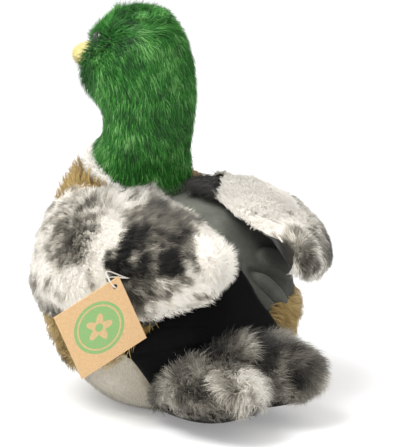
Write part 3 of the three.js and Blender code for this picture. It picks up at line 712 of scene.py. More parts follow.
def bodyPanels():
    columns, rows = 320, 180
    u, v = np.meshgrid(np.arange(columns) / columns, np.linspace(0, 1, rows))
    base = bodyPoint(u, v)
    belly, back, flank = bodyRegions(base)
    faces = gridFaces(rows, columns, True)
    flatBase = base.reshape(-1, 3)
    middle = flatBase[faces].mean(1)
    mb, mk, mf = bodyRegions(middle)
    kind = np.where(mk > 0, 0, np.where(mb > 0, 1, np.where(mf > 0, 2, 3)))
    distances = [back, belly, flank]
    e = 0.5
    slopes = []
    for order in (1, 0, 2):
        rises = [bodyRegions(base + step)[order] - bodyRegions(base - step)[order] for step in np.eye(3) * e]
        slopes.append(np.stack([rise / (2 * e) for rise in rises], -1).reshape(-1, 3))
    around = np.roll(base, -1, 1) - np.roll(base, 1, 1)
    upward = np.gradient(base, axis=0)
    normal = unit(np.cross(around, upward)).reshape(-1, 3)
    # border points slide on to the seam line, so that a panel's edge is smooth
    points = flatBase.copy()
    for k, field in enumerate(distances):
        field = field.ravel()
        inside = np.zeros(len(points), bool)
        outside = np.zeros(len(points), bool)
        inside[faces[kind == k].ravel()] = True
        outside[faces[kind != k].ravel()] = True
        border = inside & outside
        slope = slopes[k] - normal * (slopes[k] * normal).sum(-1, keepdims=True)
        step = slope * (field / np.maximum((slope ** 2).sum(-1), 0.05))[:, None]
        step *= np.minimum(1, 2.0 / np.maximum(np.linalg.norm(step, axis=-1, keepdims=True), 1e-6))
        points[border] -= step[border]
    edge = np.minimum.reduce([np.abs(back).ravel(), np.abs(belly).ravel(), np.abs(flank).ravel() + 2])
    looks = [
        ("backPanel", 0, blackVelboa, "black_short_pile", ["back_panel"], 0.2),
        ("bellyPanel", 1, creamVelboa, "cream_short_pile", ["belly_panel"], 0.6),
        ("flankPanels", 2, greyVelboa, "grey_short_pile", ["flank_left", "flank_right"], 0.3),
        ("breastPanels", 3, brownPile, "brown_pile", ["breast_left", "breast_right"], 3.2),
    ]
    for name, k, material, slot, nodes, depth in looks:
        chosen = faces[kind == k]
        used, index = np.unique(chosen, return_inverse=True)
        inset = depth + 1.4 * (1 - ease(0.0, 3.5, edge[used]))
        p = points[used] - normal[used] * inset[:, None]
        p[:, 2] = np.where(points[used][:, 2] < 0.02, 0.0, np.maximum(p[:, 2], 0.0))
        values = pileSkin(0.35 + 0.3 * mottle(p, 7, 6))
        if k == 2:
            p = p + normal[used] * foldHeight(p)[:, None]
            # painted light and shade on the flank: lighter towards its top, lighter on the folds and darker in
            # the dips beyond them
            values["lit"] = 1.2 * ease(84, 112, p[:, 2]) + np.clip(foldHeight(points[used]) * 0.2, -0.4, 0.3)
        piece = meshPiece(name, p, [index.reshape(-1, 4)], values)
        thicken(piece, clothSizes["panel"])
        dress(piece, material, "body", nodes)
    rings = bodyPoint(*np.meshgrid(np.arange(96) / 96, np.linspace(0, 1, 60)), grown=-9.0)
    rings[..., 2] = np.clip(rings[..., 2], 3.0, 118.0)
    stuffing = meshPiece("bodyStuffing", *closedLoft(rings))
    dress(stuffing, fillingCloth, "body", ["body_stuffing"], fill=0.8)


bodyPanels()


def bodyFur():
    skin = lambda u, v: bodyPoint(u, v, -3.0)

    def brownShare(p, u, v):
        belly, back, flank = bodyRegions(p)
        return np.where((belly < 1) & (back < 1) & (flank < 3), 1.0, 0.0) * np.where(v > 0.97, 0.3, 1)

    roots = rootsOn(skin, 13500, 11, brownShare, (140, 90), ((0, 1), (0.1, 1)))
    belly, back, flank = bodyRegions(roots["place"])
    roots = only(roots, (belly < 0.8) & (back < 0.8) & (flank < 2))
    p = roots["place"]
    # curly low down, short and brushed down on the chest
    chest = ease(70, 105, p[:, 2])
    swirl = np.stack([mottle(p, 9, 3) - 0.5, mottle(p, 9, 4) - 0.5, mottle(p, 9, 5) - 0.75], -1)
    near = ease(88, 104, p[:, 2]) * ease(0.3, 0.8, unit(p * np.array([1, 1, 0])) @ np.array([0.85, -0.5, 0]))
    lay = unit(swirl) + np.array([0, 0, -1.5]) * chest[:, None]
    lay = flatTo(lay + np.array([0, 0, 3.0]) * near[:, None], roots["normal"])
    far = ease(20, -30, p[:, 0]) * ease(10, 30, p[:, 1])
    tone = 0.55 + 0.25 * far + (mottle(p, 7, 6) - 0.5) * 0.5 + (roots["chance"] - 0.5) * 0.3
    # longest beside the neck on the near side, short under the ring on the far one
    length = blend(8.5, 4.6, chest) + 2 * far + (2.4 + 4 * ease(104, 112, p[:, 2])) * near
    length = length * (1 - 0.75 * ease(0, -12, p[:, 0]) * ease(108, 116, p[:, 2]))
    style = {"length": length, "lift": blend(0.68, 0.45, chest) + 0.35 * near, "stray": 0.4, "tuft": 4.0,
             "pull": 0.5 - 0.4 * near, "width": 0.55, "seed": 5, "wave": 0.5, "tuftTone": 0.25}
    fur("breastFur", roots, lay, style, tone, brownPile, "body")

    bellySkin = lambda u, v: bodyPoint(u, v, -0.9)

    def inside(p, u, v):
        belly, back, flank = bodyRegions(p)
        return np.where((belly > 0.5) & (back < -0.5) & (p[..., 2] > 1.5), 1.0, 0.0)

    roots = rootsOn(bellySkin, 16000, 12, inside, (140, 90), ((0, 1), (0, 0.5)))
    lay = flatTo(np.array([0, 0.2, -1.0]), roots["normal"])
    tone = 0.55 + (mottle(roots["place"], 12, 7) - 0.5) * 0.8 + (roots["chance"] - 0.5) * 0.4
    style = {"length": 3.0, "lift": 0.5, "stray": 0.5, "tuft": 2.5, "pull": 0.3, "width": 0.45, "seed": 6,
             "straight": True}
    fur("bellyFur", roots, lay, style, tone, creamPile, "body")


bodyFur()

# neck ring

print("neck ring")


ringSizes = {"radius": 26.0, "depth": 4.6, "slimmer": 2.4, "middle": 2.9, "halfHeight": 2.4}


def ringPoint(u, v, grown=0.0):
    # a band round the neck, whose section is a flattened circle
    r = ringSizes
    a = u * 2 * math.pi
    b = v * 2 * math.pi
    hidden = ease(0.1, 0.8, np.cos(a) * -0.77 + np.sin(a) * 0.64)  # under the head's pile at its right rear
    radius = r["radius"] + (r["depth"] - r["slimmer"] * hidden + grown) * np.cos(b)
    z = r["middle"] + (r["halfHeight"] + grown * 0.4) * np.sin(b)
    return onNeck(np.stack([radius * np.cos(a), radius * np.sin(a), z], -1))


def neckRing():
    rows, columns = 24, 120
    v, u = np.meshgrid(np.arange(rows) / rows, np.arange(columns) / columns, indexing="ij")
    i, j = np.meshgrid(np.arange(rows), np.arange(columns), indexing="ij")
    a, b = (i + 1) % rows, (j + 1) % columns
    faces = np.stack([i * columns + j, i * columns + b, a * columns + b, a * columns + j], -1).reshape(-1, 4)
    piece = meshPiece("neckRing", ringPoint(u, v), [faces])
    dress(piece, whiteBacking, "body", ["neck_ring"], fill=0.7)
    roots = rootsOn(ringPoint, 5000, 21, None, (120, 12), ((0, 1), (-0.22, 0.24)))
    away = unit(roots["place"] - onNeck(np.zeros(3)))
    a = roots["u"] * 2 * math.pi
    behind = ease(-0.1, 0.6, np.sin(a))  # the wings cover the ring there
    hidden = ease(-0.2, 0.5, np.sin(a) * 0.64 - np.cos(a) * 0.77)
    lay = flatTo(away + np.array([0, 0, -0.8]), roots["normal"])
    tone = 0.75 + (roots["chance"] - 0.5) * 0.5
    style = {"length": blend(blend(4.6, 2.2, behind), 1.0, hidden),
             "lift": blend(0.8, 0.4, np.maximum(behind, hidden)), "stray": 0.6, "tuft": 3.5, "pull": 0.4,
             "width": 0.45, "seed": 8}
    fur("neckRingFur", roots, lay, style, tone, whitePile, "body")


neckRing()

# head

print("head")


def headSkin(u, v):
    # the head within its pile, with the crown rounded shut: the last 4% of the height shrinks as a circle does
    p = headPoint(u, v, -pattern["pile"])
    middle = headPoint(np.stack([u, u + 0.5]), np.stack([v, v]), -pattern["pile"]).mean(0)
    shut = np.sqrt(1 - np.clip((v - 0.96) / 0.04, 0, 1) ** 2)[..., None]
    return middle + (p - middle) * shut


def head():
    u, v = np.meshgrid(np.arange(128) / 128, np.linspace(0, 1, 110))
    points, faces = closedLoft(headSkin(u, v))
    skin = meshPiece("headSkin", points, faces, pileSkin(0.25 + 0.2 * mottle(points, 6, 4)))
    dress(skin, greenPile, "head", ["head_left", "head_right", "head_stuffing"], fill=0.85)
    roots = rootsOn(headSkin, 52000, 31, None, (128, 120))
    p, n = roots["place"], roots["normal"]
    q = turnedAbout(p, (0, 0, 1), -headSizes["turn"] * degrees, (0, headAxisY, 0)) - np.array([0, headAxisY, 0])
    # brushed away from the beak over the crown, and down the neck, with a slow drift
    source = turnedAbout(np.array([[0, -20.0, 196.0]]), (0, 0, 1), headSizes["turn"] * degrees)[0]
    source = source + np.array([0, headAxisY, 0])
    low = ease(190, 150, p[:, 2])[:, None]
    drift = np.stack([mottle(p, 20, k) - 0.5 for k in (1, 2, 3)], -1) * 1.1
    lay = unit(p - source) * (1 - 0.6 * low) + np.array([0, 0, -0.5]) - np.array([0, 0, 0.9]) * low
    lay = flatTo(lay + drift, n)
    face = (q[:, 1] < -22) & (p[:, 2] > 179) & (p[:, 2] < 204) & (np.abs(q[:, 0]) < 14)
    nearEye = np.min([np.linalg.norm(p - seat, axis=-1) for seat, _ in headEyes()], axis=0)
    keep = ~face & (nearEye > 4.0)
    foot = ease(0.17, 0.03, roots["v"])  # it falls over the neck ring
    # fuller round the beak and the eyes; at the foot it flares out but for the duck's right
    front = ease(-14, -24, q[:, 1]) * ease(166, 176, p[:, 2]) * ease(216, 206, p[:, 2])
    eyeRound = ease(13, 8, nearEye)
    length = blend(9.5, blend(12.5, 8.6, ease(0.2, 0.8, n @ np.array([0.866, -0.5, 0]))), foot)
    length = blend(blend(length, 10.2, front), 9.6, eyeRound)
    outward = ease(0.7, -0.2, n @ np.array([-0.866, 0.5, 0]))
    lift = blend(0.52, 0.62 + 0.2 * outward, foot)
    lift = np.maximum(lift, np.maximum(0.84 * front, 0.9 * eyeRound))
    tone = 0.44 + (mottle(p, 6, 4) - 0.5) * 0.35 + (mottle(p, 18, 9) - 0.5) * 0.3
    tone = tone + (roots["chance"] - 0.5) * 0.85
    style = {"length": length[keep], "lift": lift[keep], "stray": 0.22, "tuft": 3.0, "pull": 0.3,
             "width": 0.37, "seed": 13, "wave": 0.3, "tuftTone": 0.38}
    fur("headFur", only(roots, keep), lay[keep], style, tone[keep], greenPile, "head", 3)


eyeSizes = {"radius": 4.5, "dome": 3.2, "angle": 27.0, "height": 0.82, "stem": 1.5, "stemLength": 9.0}


def headEyes():
    # where each eye sits, and the way it looks
    found = []
    for side in (1, -1):
        angle = -eyeSizes["angle"] * degrees if side > 0 else math.pi + eyeSizes["angle"] * degrees
        turn = angle / (2 * math.pi)
        seat = headPoint(np.array([turn]), np.array([eyeSizes["height"]]), pattern["seamGap"])[0]
        outer = headPoint(np.array([turn]), np.array([eyeSizes["height"]]), pattern["pile"])[0]
        found.append((seat, unit(outer - seat)))
    return found


def eyes():
    # a dome on a stem: the outline turned about the way that the eye looks
    e = eyeSizes
    dome = [(e["radius"] * math.cos(a), e["dome"] * math.sin(a)) for a in np.linspace(0, math.pi / 2, 14)[:-1]]
    stem = [(e["stem"], -e["stemLength"]), (e["stem"], -0.6)]
    rim = [(e["radius"] - 0.7, -0.6), (e["radius"] - 0.1, -0.3)]
    outline = np.array(stem + rim + dome + [(0.05, e["dome"])])
    for (seat, look), name in zip(headEyes(), ("left", "right")):
        s = unit(np.cross(look, [0, 0, 1.0]))
        t = np.cross(look, s)
        a = np.arange(40) / 40 * 2 * math.pi
        ring = np.cos(a)[:, None] * s - np.sin(a)[:, None] * t
        rings = seat + outline[:, 0][:, None, None] * ring + outline[:, 1][:, None, None] * look
        piece = meshPiece(f"eye{name.title()}", *closedLoft(rings))
        dress(piece, eyePlastic, "head", [f"eye_{name}"])


def beak():
    # two flattened half egg shapes with the mouth between them: the flat side keeps a tenth of the depth
    sizes = {"width": 25.0, "length": 33.5, "tip": 53.7, "height": 192.0}
    halves = [("beakUpper", 1, 1.0, 8.0, "beak_upper"), ("beakLower", -1, 0.86, 6.5, "beak_lower")]
    for name, side, share, depth, node in halves:
        def shape(u, v, grown=0.0):
            a, e = u * 2 * math.pi, (v - 0.5) * math.pi
            z = np.sin(e)
            z = np.where(z * side > 0, z * (depth + grown), z * 0.08 * depth) + (0 if side > 0 else -0.6)
            x = (sizes["width"] / 2 * share + grown) * np.cos(e) * np.cos(a)
            reach = sizes["length"] / 2 * share
            y = (reach + grown) * np.cos(e) * np.sin(a) + reach - sizes["tip"]
            p = np.stack([x, y, z + sizes["height"]], -1)
            return turnedAbout(p, (0, 0, 1), headSizes["turn"] * degrees) + np.array([0, headAxisY, 0])
        u, v = np.meshgrid(np.arange(64) / 64, np.linspace(0.02, 0.98, 40))
        piece = meshPiece(name, *closedLoft(shape(u, v, -0.8)))
        dress(piece, yellowVelboa, "head", [node], fill=0.7)
        roots = rootsOn(lambda u, v: shape(u, v, -0.8), 3500, 41 + side, None, (64, 40), ((0, 1), (0.03, 0.97)))
        ahead = turnedAbout(np.array([[0.0, -1.0, 0.0]]), (0, 0, 1), headSizes["turn"] * degrees)[0]
        lay = flatTo(ahead, roots["normal"])
        tone = 0.6 + (roots["chance"] - 0.5) * 0.6
        style = {"length": 2.6, "lift": 0.75, "stray": 0.7, "tuft": 2.0, "pull": 0.2, "width": 0.36, "seed": 14,
                 "straight": True}
        fur(f"{name}Fur", roots, lay, style, tone, yellowPile, "head")


head()
eyes()
beak()

# wings

print("wings")

wingSizes = {
    "thickness": 10.6, "edge": 1.6, "clearance": 1.0, "rearAngle": 88.0, "neckClearance": 2.0,
    "farShort": 6.0, "spread": 11.0, "droop": 3.0, "tipLift": 12.0,
    "low": [0.47, 0.445, 0.46, 0.48, 0.5, 0.51, 0.52, 0.535, 0.555, 0.585, 0.63, 0.7],
    # the far wing's pile is drawn up at its lower rear corner and down at its front top one
    "lowFar": [0.47, 0.445, 0.46, 0.49, 0.53, 0.57, 0.595, 0.615, 0.625, 0.635, 0.65, 0.7],
    "topFar": [0.87, 0.925, 0.945, 0.965, 0.98, 1, 1, 1, 1, 0.99, 0.97, 0.93],
    "top": [0.9, 0.95, 0.965, 0.975, 0.985, 1, 1, 1, 1, 0.99, 0.97, 0.93],
    "thick": [0.35, 0.8, 0.95, 1, 1, 1, 1, 1, 1, 0.98, 0.9, 0.6],
    "lift": [0, 0, 0, 0, 0, 0, 0, 0, 0.1, 0.3, 0.6, 1],
    "liftAcross": [0.5, 0.9, 1, 0.7, 0.35, 0.15, 0.05, 0],
    "hinge": (0.62, 0.72, 0.82),
}


def wingFrom(place, across, outward, far=False):
    # A point of the left wing. place runs from the shoulder seam to the tip and across from the lower edge
    # to the upper one. outward gives the offset from the body from the lift and the thickness there.
    w = wingSizes
    low, top = evenly(w["lowFar" if far else "low"], place), evenly(w["topFar" if far else "top"], place)
    share = np.minimum(blend(low, top, across), 1.0)
    seam = through(wingBed["share"], wingBed["seam"], share)
    angle = blend(seam, (w["rearAngle"] - (w["farShort"] if far else 0)) * degrees, place)
    crown = np.sqrt(np.maximum(1 - np.abs(2 * across - 1) ** 3, 0))
    end = np.sqrt(np.clip(np.minimum(place / 0.12, (1 - place) / 0.08), 0.02, 1))
    lift = np.maximum(evenly(w["lift"], place), 0) * np.maximum(evenly(w["liftAcross"], across), 0)
    lift = lift * w["tipLift"]
    thick = np.maximum(evenly(w["thick"], place) * crown * end * w["thickness"], w["edge"])
    p = formPoint(wingBed, angle, share, outward(np.maximum(lift, w["clearance"]), thick))
    # it stays clear of the neck ring
    q = fromNeck(p)
    radius = np.hypot(q[..., 0], q[..., 1])
    room = headSizes["ringRadius"] + w["neckClearance"]
    push = np.maximum(radius, room) / np.maximum(radius, 1e-6)
    q[..., 0] *= push
    q[..., 1] *= push
    return onNeck(q)


def wingHinge():
    w = wingSizes
    shares = np.array(w["hinge"])
    seam = through(wingBed["share"], wingBed["seam"], shares)
    low, middle, top = formPoint(wingBed, seam, shares, w["clearance"] + pattern["seamGap"])
    return middle, unit(low - top)


def rightWing(points):
    # the left wing mirrored, dropped a little and swung out from its own seam
    pivot, axis = wingHinge()
    p = points * np.array([-1, 1, 1])
    pivot = pivot * np.array([-1, 1, 1])
    p = turnedAbout(p, (-1, -1, 0), wingSizes["droop"] * degrees, pivot)
    return turnedAbout(p, axis * np.array([1, -1, -1]), wingSizes["spread"] * degrees, pivot)


def outerSkin(place, across, far=False):
    return wingFrom(place, across, lambda lift, thick: lift + np.maximum(thick - 3.7, 0.8), far)


def innerSkin(place, across, far=False):
    return wingFrom(place, across, lambda lift, thick: lift + 0.9, far)


def patchedTone(p, tone, patches, seed):
    # soft patches of colour on the cloth: centre, half length as a vector, half width, tone, strength.
    # A patch fades out round its size with a ragged edge, and its own tone wanders most in the mid greys.
    streaks = (mottle(p, 7, seed + 2) - 0.5) * 0.9 + (mottle(p, 3.2, seed + 3) - 0.5) * 0.6
    wide, fine = (mottle(p, 9, seed) - 0.5) * 0.95, (mottle(p, 3.5, seed + 1) - 0.5) * 0.6
    for x, y, z, ax, ay, az, width, value, strength in patches:
        q = p - np.array([x, y, z])
        axis = np.array([ax, ay, az])
        reach = np.linalg.norm(axis)
        along = q @ axis / reach
        across = np.linalg.norm(q - along[:, None] * axis / reach, axis=-1)
        far = np.hypot(along / reach, across / max(width, 4)) + wide + fine
        vary = 0.06 + 0.75 * min(value, max(1 - value, 0))
        tone = blend(tone, value + streaks * vary, (1 - ease(0.6, 1.35, far)) * strength)
    return tone


def wingTone(p, patches):
    # white with loose ragged spots of grey
    spots = mottle(p, 11, 51) + (mottle(p, 4.5, 52) - 0.5) * 0.6
    tone = 0.95 - 0.48 * ease(0.48, 0.85, spots) + (mottle(p, 3, 53) - 0.5) * 0.12
    return patchedTone(p, tone, patches, 54)


def patchesFrom(marks, fabric, shown):
    # Marks are ellipses read from the photograph: x, y, half width, half height and turn there, in
    # pixels and degrees, then tone and strength. Each becomes a patch on the cloth, in whole millimetres.
    # shown has the fabric's points where they stand at rest; the front-most point at a pixel is the one seen.
    view = markView
    a, e = cameraSizes["azimuth"] * degrees, cameraSizes["elevation"] * degrees
    right = np.array([math.cos(a), math.sin(a), 0])
    back = np.array([math.sin(a) * math.cos(e), -math.cos(a) * math.cos(e), math.sin(e)])
    size = cameraSizes["millimetresPerPixel"]
    flatX = view["originX"] + shown @ right / size
    flatY = view["originY"] - shown @ np.cross(back, right) / size
    depth = shown @ back

    def under(x, y):
        far = np.hypot(flatX - x, flatY - y)
        near = np.flatnonzero(far < max(view["reach"], far.min() + view["reach"] / 2))
        return fabric[near[np.argmax(depth[near])]]

    def halfSpan(x, y, half, turn):
        step = np.array([math.cos(turn), math.sin(turn)]) * half * view["inset"]
        return (under(x + step[0], y + step[1]) - under(x - step[0], y - step[1])) / 2 / view["inset"]

    patches = []
    for x, y, wide, high, turn, tone, strength in marks:
        longer, shorter = (wide, turn * degrees), (high, (turn + 90) * degrees)
        if high > wide:
            longer, shorter = shorter, longer
        axis, side = halfSpan(x, y, *longer), halfSpan(x, y, *shorter)
        axis = unit(axis) * np.clip(np.linalg.norm(axis), longer[0] * size, longer[0] * size * 1.8)
        width = np.clip(np.linalg.norm(side), shorter[0] * size, shorter[0] * size * 1.6)
        patches.append((*np.round([*under(x, y), *axis, width]), tone, strength))
    return patches


# where the pattern's origin lies in the photograph, how near a cloth point has to lie to a pixel, and how far
# inside a mark's ends its size is taken
markView = {"originX": 173, "originY": 398, "reach": 1.2, "inset": 0.8}

# The near-black marks in the crease below the shoulder, round x 110 to 140, are a dark blotch of the pile and
# painted shade of the crease. The narrow grey marks at the left edge of the white ball by the tip, round x 192,
# are painted shade where the ball meets the wing.
leftMarks = [
    (60, 240, 32, 46, 0, 0.93, 0.6), (69, 238, 22, 30, 10, 0.68, 0.75), (70, 240, 11, 17, 10, 0.28, 0.9),
    (78, 195, 15, 7, -15, 0.52, 0.8), (78, 215, 8, 8, 0, 0.45, 0.7), (103, 198, 8, 6, 0, 0.5, 0.8),
    (53, 250, 5, 9, 0, 0.58, 0.7), (45, 282, 6, 10, 0, 0.6, 0.7), (92, 264, 8, 7, 0, 0.6, 0.7),
    (95, 283, 10, 5, 0, 0.5, 0.8), (70, 271, 9, 8, 0, 0.95, 0.8), (78, 296, 14, 8, 0, 0.93, 0.8),
    (60, 292, 14, 7, 0, 0.7, 0.6), (158, 232, 37, 44, 0, 0.36, 1), (140, 280, 24, 24, 0, 0.4, 1),
    (178, 240, 20, 34, 0, 0.38, 0.9), (192, 250, 7, 22, 0, 0.5, 0.8), (133, 187, 22, 9, -14, 1, 1),
    (104, 222, 9, 30, 12, 1, 1), (95, 258, 8, 14, 10, 0.95, 0.9), (155, 195, 24, 7, 12, 0.4, 0.8),
    (141, 217, 11, 5, -10, 0.56, 0.9), (170, 215, 16, 9, 20, 0.3, 0.8), (192, 222, 9, 12, 0, 0.5, 0.7),
    (140, 228, 12, 9, 0, 0.24, 0.9), (122, 249, 10, 23, 14, 0.02, 1), (112, 272, 9, 7, -20, 0.04, 1),
    (132, 262, 9, 12, 0, 0.08, 0.9), (164, 261, 15, 10, -20, 0.03, 1), (153, 243, 6, 16, -25, 0.44, 0.7),
    (158, 284, 9, 14, 10, 0.76, 0.9), (141, 285, 8, 16, -10, 0.46, 0.9), (133, 296, 8, 12, 0, 0.28, 0.9),
    (178, 281, 13, 9, -20, 0.42, 0.9), (195, 266, 7, 9, 0, 0.62, 0.8), (150, 298, 8, 6, 0, 0.56, 0.8),
    (204, 286, 20, 9, -38, 0.96, 0.95), (182, 298, 16, 8, -30, 0.93, 0.95),
    (164, 309, 14, 8, -22, 0.9, 0.95), (146, 314, 12, 7, -10, 0.74, 0.9), (78, 222, 24, 32, 15, 0.62, 0.8),
    (70, 240, 11, 18, 10, 0.4, 0.85), (88, 203, 9, 7, 0, 0.45, 0.8), (58, 222, 7, 9, 0, 0.52, 0.7),
    (92, 240, 6, 10, 0, 0.62, 0.7), (132, 190, 20, 7, -14, 1, 1), (106, 220, 8, 26, 12, 0.98, 1),
    (96, 256, 7, 12, 10, 0.93, 0.9), (122, 250, 12, 26, 14, 0.0, 1), (137, 264, 9, 11, 0, 0.05, 1),
    (164, 261, 15, 10, -20, 0.02, 1), (112, 278, 8, 6, 0, 0.2, 0.9),
]
rightMarks = [
    (240, 190, 50, 22, 35, 1, 1), (285, 215, 30, 22, 40, 1, 1), (193, 186, 9, 15, 10, 0.1, 1),
    (210, 192, 5, 4, 0, 0.4, 0.7), (216, 196, 4, 3, 0, 0.5, 0.6), (219, 178, 16, 2.5, -5, 0.6, 0.5),
    (262, 179, 14, 3, 25, 0.66, 0.5), (295, 235, 20, 10, 35, 0.56, 0.95), (301, 246, 16, 12, 0, 0.5, 0.95),
    (280, 232, 12, 6, 30, 0.62, 0.8), (318, 240, 9, 18, -25, 0.34, 0.8), (329, 250, 6, 14, -10, 0.06, 1),
    (302, 276, 14, 10, -20, 0.9, 0.95), (317, 262, 8, 9, -30, 0.28, 0.9), (308, 255, 5, 9, 20, 0.12, 0.8),
    (290, 250, 7, 6, 0, 0.8, 0.6),
]
place, across = np.meshgrid(np.linspace(0, 1, 500), np.linspace(0, 1, 260), indexing="ij")
wingCloth = np.concatenate([wingFrom(place, across, outward).reshape(-1, 3) for outward in (
    lambda lift, thick: lift + thick, lambda lift, thick: lift)])
# the rows added below to the marks' patches are given in millimetres
leftPatches = patchesFrom(leftMarks, wingCloth, wingCloth) + [
    # the second row, a narrow grey line at the left edge of the white ball, is painted shade
    (8, 71, 105, 6, 12, -7, 11, 1.1, 1), (20, 55, 112, 9, 15, -5, 5, 0.42, 1),
    (18, 41, 118, -8, 0, -1, 10, 0.36, 0.9), (26, 71, 102, 2, 3, -4, 5, 0.55, 0.9),
    (34, 72, 96, -5, 2, 2, 4, 0.5, 0.8), (18, 79, 92, -6, 0, 4, 5, 0.92, 0.9),
]
rightPatches = [
    (45, 5, 122, -24, 52, -4, 26, 1, 1), (66, 34, 100, 10, 12, -22, 9, 0.4, 0.8),
    (76, -14, 84, 6, 14, -16, 11, 0.3, 0.8), (70, -30, 104, 5, 12, -6, 8, 0.5, 0.8),
    (74, 10, 68, -4, 18, 3, 7, 0.55, 0.8), (3, 71, 98, 0, 2, 9, 5, 0.42, 1),
] + patchesFrom(rightMarks, wingCloth, rightWing(wingCloth)) + [
    (74, -12, 76, 2, 8, -12, 8, 0.35, 0.95), (18, 68, 103, 3, 4, -3, 8, 0.62, 0.8),
    (21, 72, 95, 3, 3, -4, 6, 0.5, 0.8), (57, 46, 93, 1, 6, -6, 7, 0.04, 1),
    (59, 41, 99, 0, 5, -4, 5, 0.3, 0.9),
]


def wing(name, side, patches, whorls, seed, hairs):
    move = (lambda p: p) if side > 0 else rightWing
    flip = slice(None) if side > 0 else slice(None, None, -1)
    skin = lambda u, v: outerSkin(u, v, side < 0)
    body = f"wing_{name}"
    title = name.title()
    # the stuffed pad: outer face, round the edges, and back along the inner face
    rows, half = 90, 40
    place = np.linspace(0.0, 1.0, rows)[:, None]
    outward = np.linspace(0, 1, half)[None]
    outer = skin(*np.broadcast_arrays(place, outward))
    inner = innerSkin(*np.broadcast_arrays(place, outward[:, ::-1]), side < 0)
    rings = move(np.concatenate([outer, inner], 1))
    points, faces = closedLoft(rings)
    still, _ = closedLoft(np.concatenate([outer, inner], 1))
    # grey on the lining's side, and on the far wing's rear end, which shows beside the lining
    bare = np.ones(len(points), bool)
    bare[:-2].reshape(rows, 2 * half)[:, :half] = False
    bare[:-2].reshape(rows, 2 * half)[-1] |= side < 0
    shade = np.where(bare, 0.24, wingTone(still, patches))
    piece = meshPiece(f"wing{title}Skin", points, [f[:, flip] for f in faces], pileSkin(shade))
    dress(piece, mottledPile, body, [f"wing_{name}_outer", f"wing_{name}_filling"], fill=0.75)
    # the short pile lining, in shallow folds that run out from the seam
    def lining(u, v):
        folds = 0.5 + 0.5 * np.sin(v * 26 + mottle(np.stack([u * 40, v * 40, u * 0], -1), 9, 2) * 4)
        edge = ease(0, 0.08, np.minimum.reduce([u, 1 - u, v, 1 - v]))
        reach = lambda lift, thick: lift + 0.55 - 0.9 * folds * edge
        return move(wingFrom(blend(0.01, 0.995, u), blend(0.015, 0.985, v), reach, side < 0))
    v, u = np.meshgrid(np.linspace(0, 1, 70), np.linspace(0, 1, 100))
    piece = meshPiece(f"wing{title}Lining", lining(u, v), [gridFaces(100, 70)[:, ::-1][:, flip]])
    thicken(piece, clothSizes["lining"])
    dress(piece, greyVelboa, body, [f"wing_{name}_lining"])
    if side < 0:
        # dark pile on the front of the upper edge leans over to the neck and fills in beside it
        roots = rootsOn(skin, 2800, seed + 9, None, (90, 12), ((0.48, 0.84), (0.955, 1.0)))
        u, v, p = roots["u"], roots["v"], roots["place"]
        origin = rightWing(np.zeros((1, 3)))[0]
        normal = unit(roots["normal"] + roots["dv"] * 0.4 + np.array([0, 0, 0.5]))
        ahead = np.array([-0.9, -0.35, -0.1]) + roots["du"] * (roots["chance"] - 0.5)[:, None] * 0.8
        lay = flatTo(ahead, normal)
        tone = 0.1 + (mottle(p, 6, seed) - 0.5) * 0.2 + (roots["chance"] - 0.5) * 0.12
        roots["place"], roots["normal"] = rightWing(p), rightWing(normal) - origin
        style = {"length": blend(14.0, 10.0, ease(0.75, 0.94, u)), "lift": 0.5, "stray": 0.3, "tuft": 5.0,
                 "pull": 0.4, "width": 0.45, "seed": seed}
        fur(f"wing{title}Collar", roots, rightWing(lay) - origin, style, tone, mottledPile, body)
    # long pile on the outer face and over its edges, above a shorter undercoat
    for kind, count in (("Fur", hairs), ("Undercoat", hairs * 1.7)):
        short = kind == "Undercoat"
        roots = rootsOn(skin, count, seed + short, None, (110, 70))
        u, v, p = roots["u"], roots["v"], roots["place"]
        top = ease(0.8, 0.95, v)
        overEdge = 0.8 * ease(0.86, 1, v) - ease(0.14, 0, v)
        overEnd = 0.7 * ease(0.92, 1, u) - 0.5 * ease(0.06, 0, u)
        lean = overEdge[:, None] * roots["dv"] + overEnd[:, None] * roots["du"]
        normal = unit(roots["normal"] + lean)
        rear = ease(0.35, 0.6, u)
        end = ease(0.86, 1.0, u)
        drift = np.stack([mottle(p, 15, seed + k) - 0.5 for k in (5, 6, 7)], -1) * 1.3
        down = np.array([0, 0, -1.0]) * (blend(0.9, 0.5, rear) * (1 - 0.8 * top))[:, None]
        lay = roots["du"] * blend(0.35, 0.9, rear)[:, None] + down + drift
        for x, y, z, reach in whorls:
            away = p - np.array([x, y, z])
            near = ease(reach, reach * 0.5, np.linalg.norm(away, axis=-1))[:, None]
            lay = lay * (1 - near) + (unit(away) + drift * 0.35) * near
        lay = flatTo(lay, normal)
        tone = wingTone(p, patches) + (roots["chance"] - 0.5) * 0.14
        collar = top * ease(0.2, 0.38, u) * ease(0.9, 0.72, u) * (side > 0)  # it fills in beside the neck
        corner = ease(0.36, 0.2, u) * ease(0.7, 0.9, v) * (side < 0)
        pale = ease(0.78, 0.94, tone) * (1 - 0.75 * ease(0.78, 0.92, u))
        pale = pale * ease(1.1, 1.04, tone)  # the tip's own white pile stays long
        length = blend(5.6, 7.4, rear) - 1.4 * end + 4.0 * collar - 2 * ease(0.15, 0, u)
        length = length * (1 - 0.28 * pale) * (1 - 0.6 * corner)
        lift = blend(blend(0.8, 0.6, rear) + 0.2 * end, 0.9, top)
        lift = lift * (1 - 0.3 * pale)
        if short:
            length, lift = length * 0.86, np.minimum(lift + 0.1, 0.93)
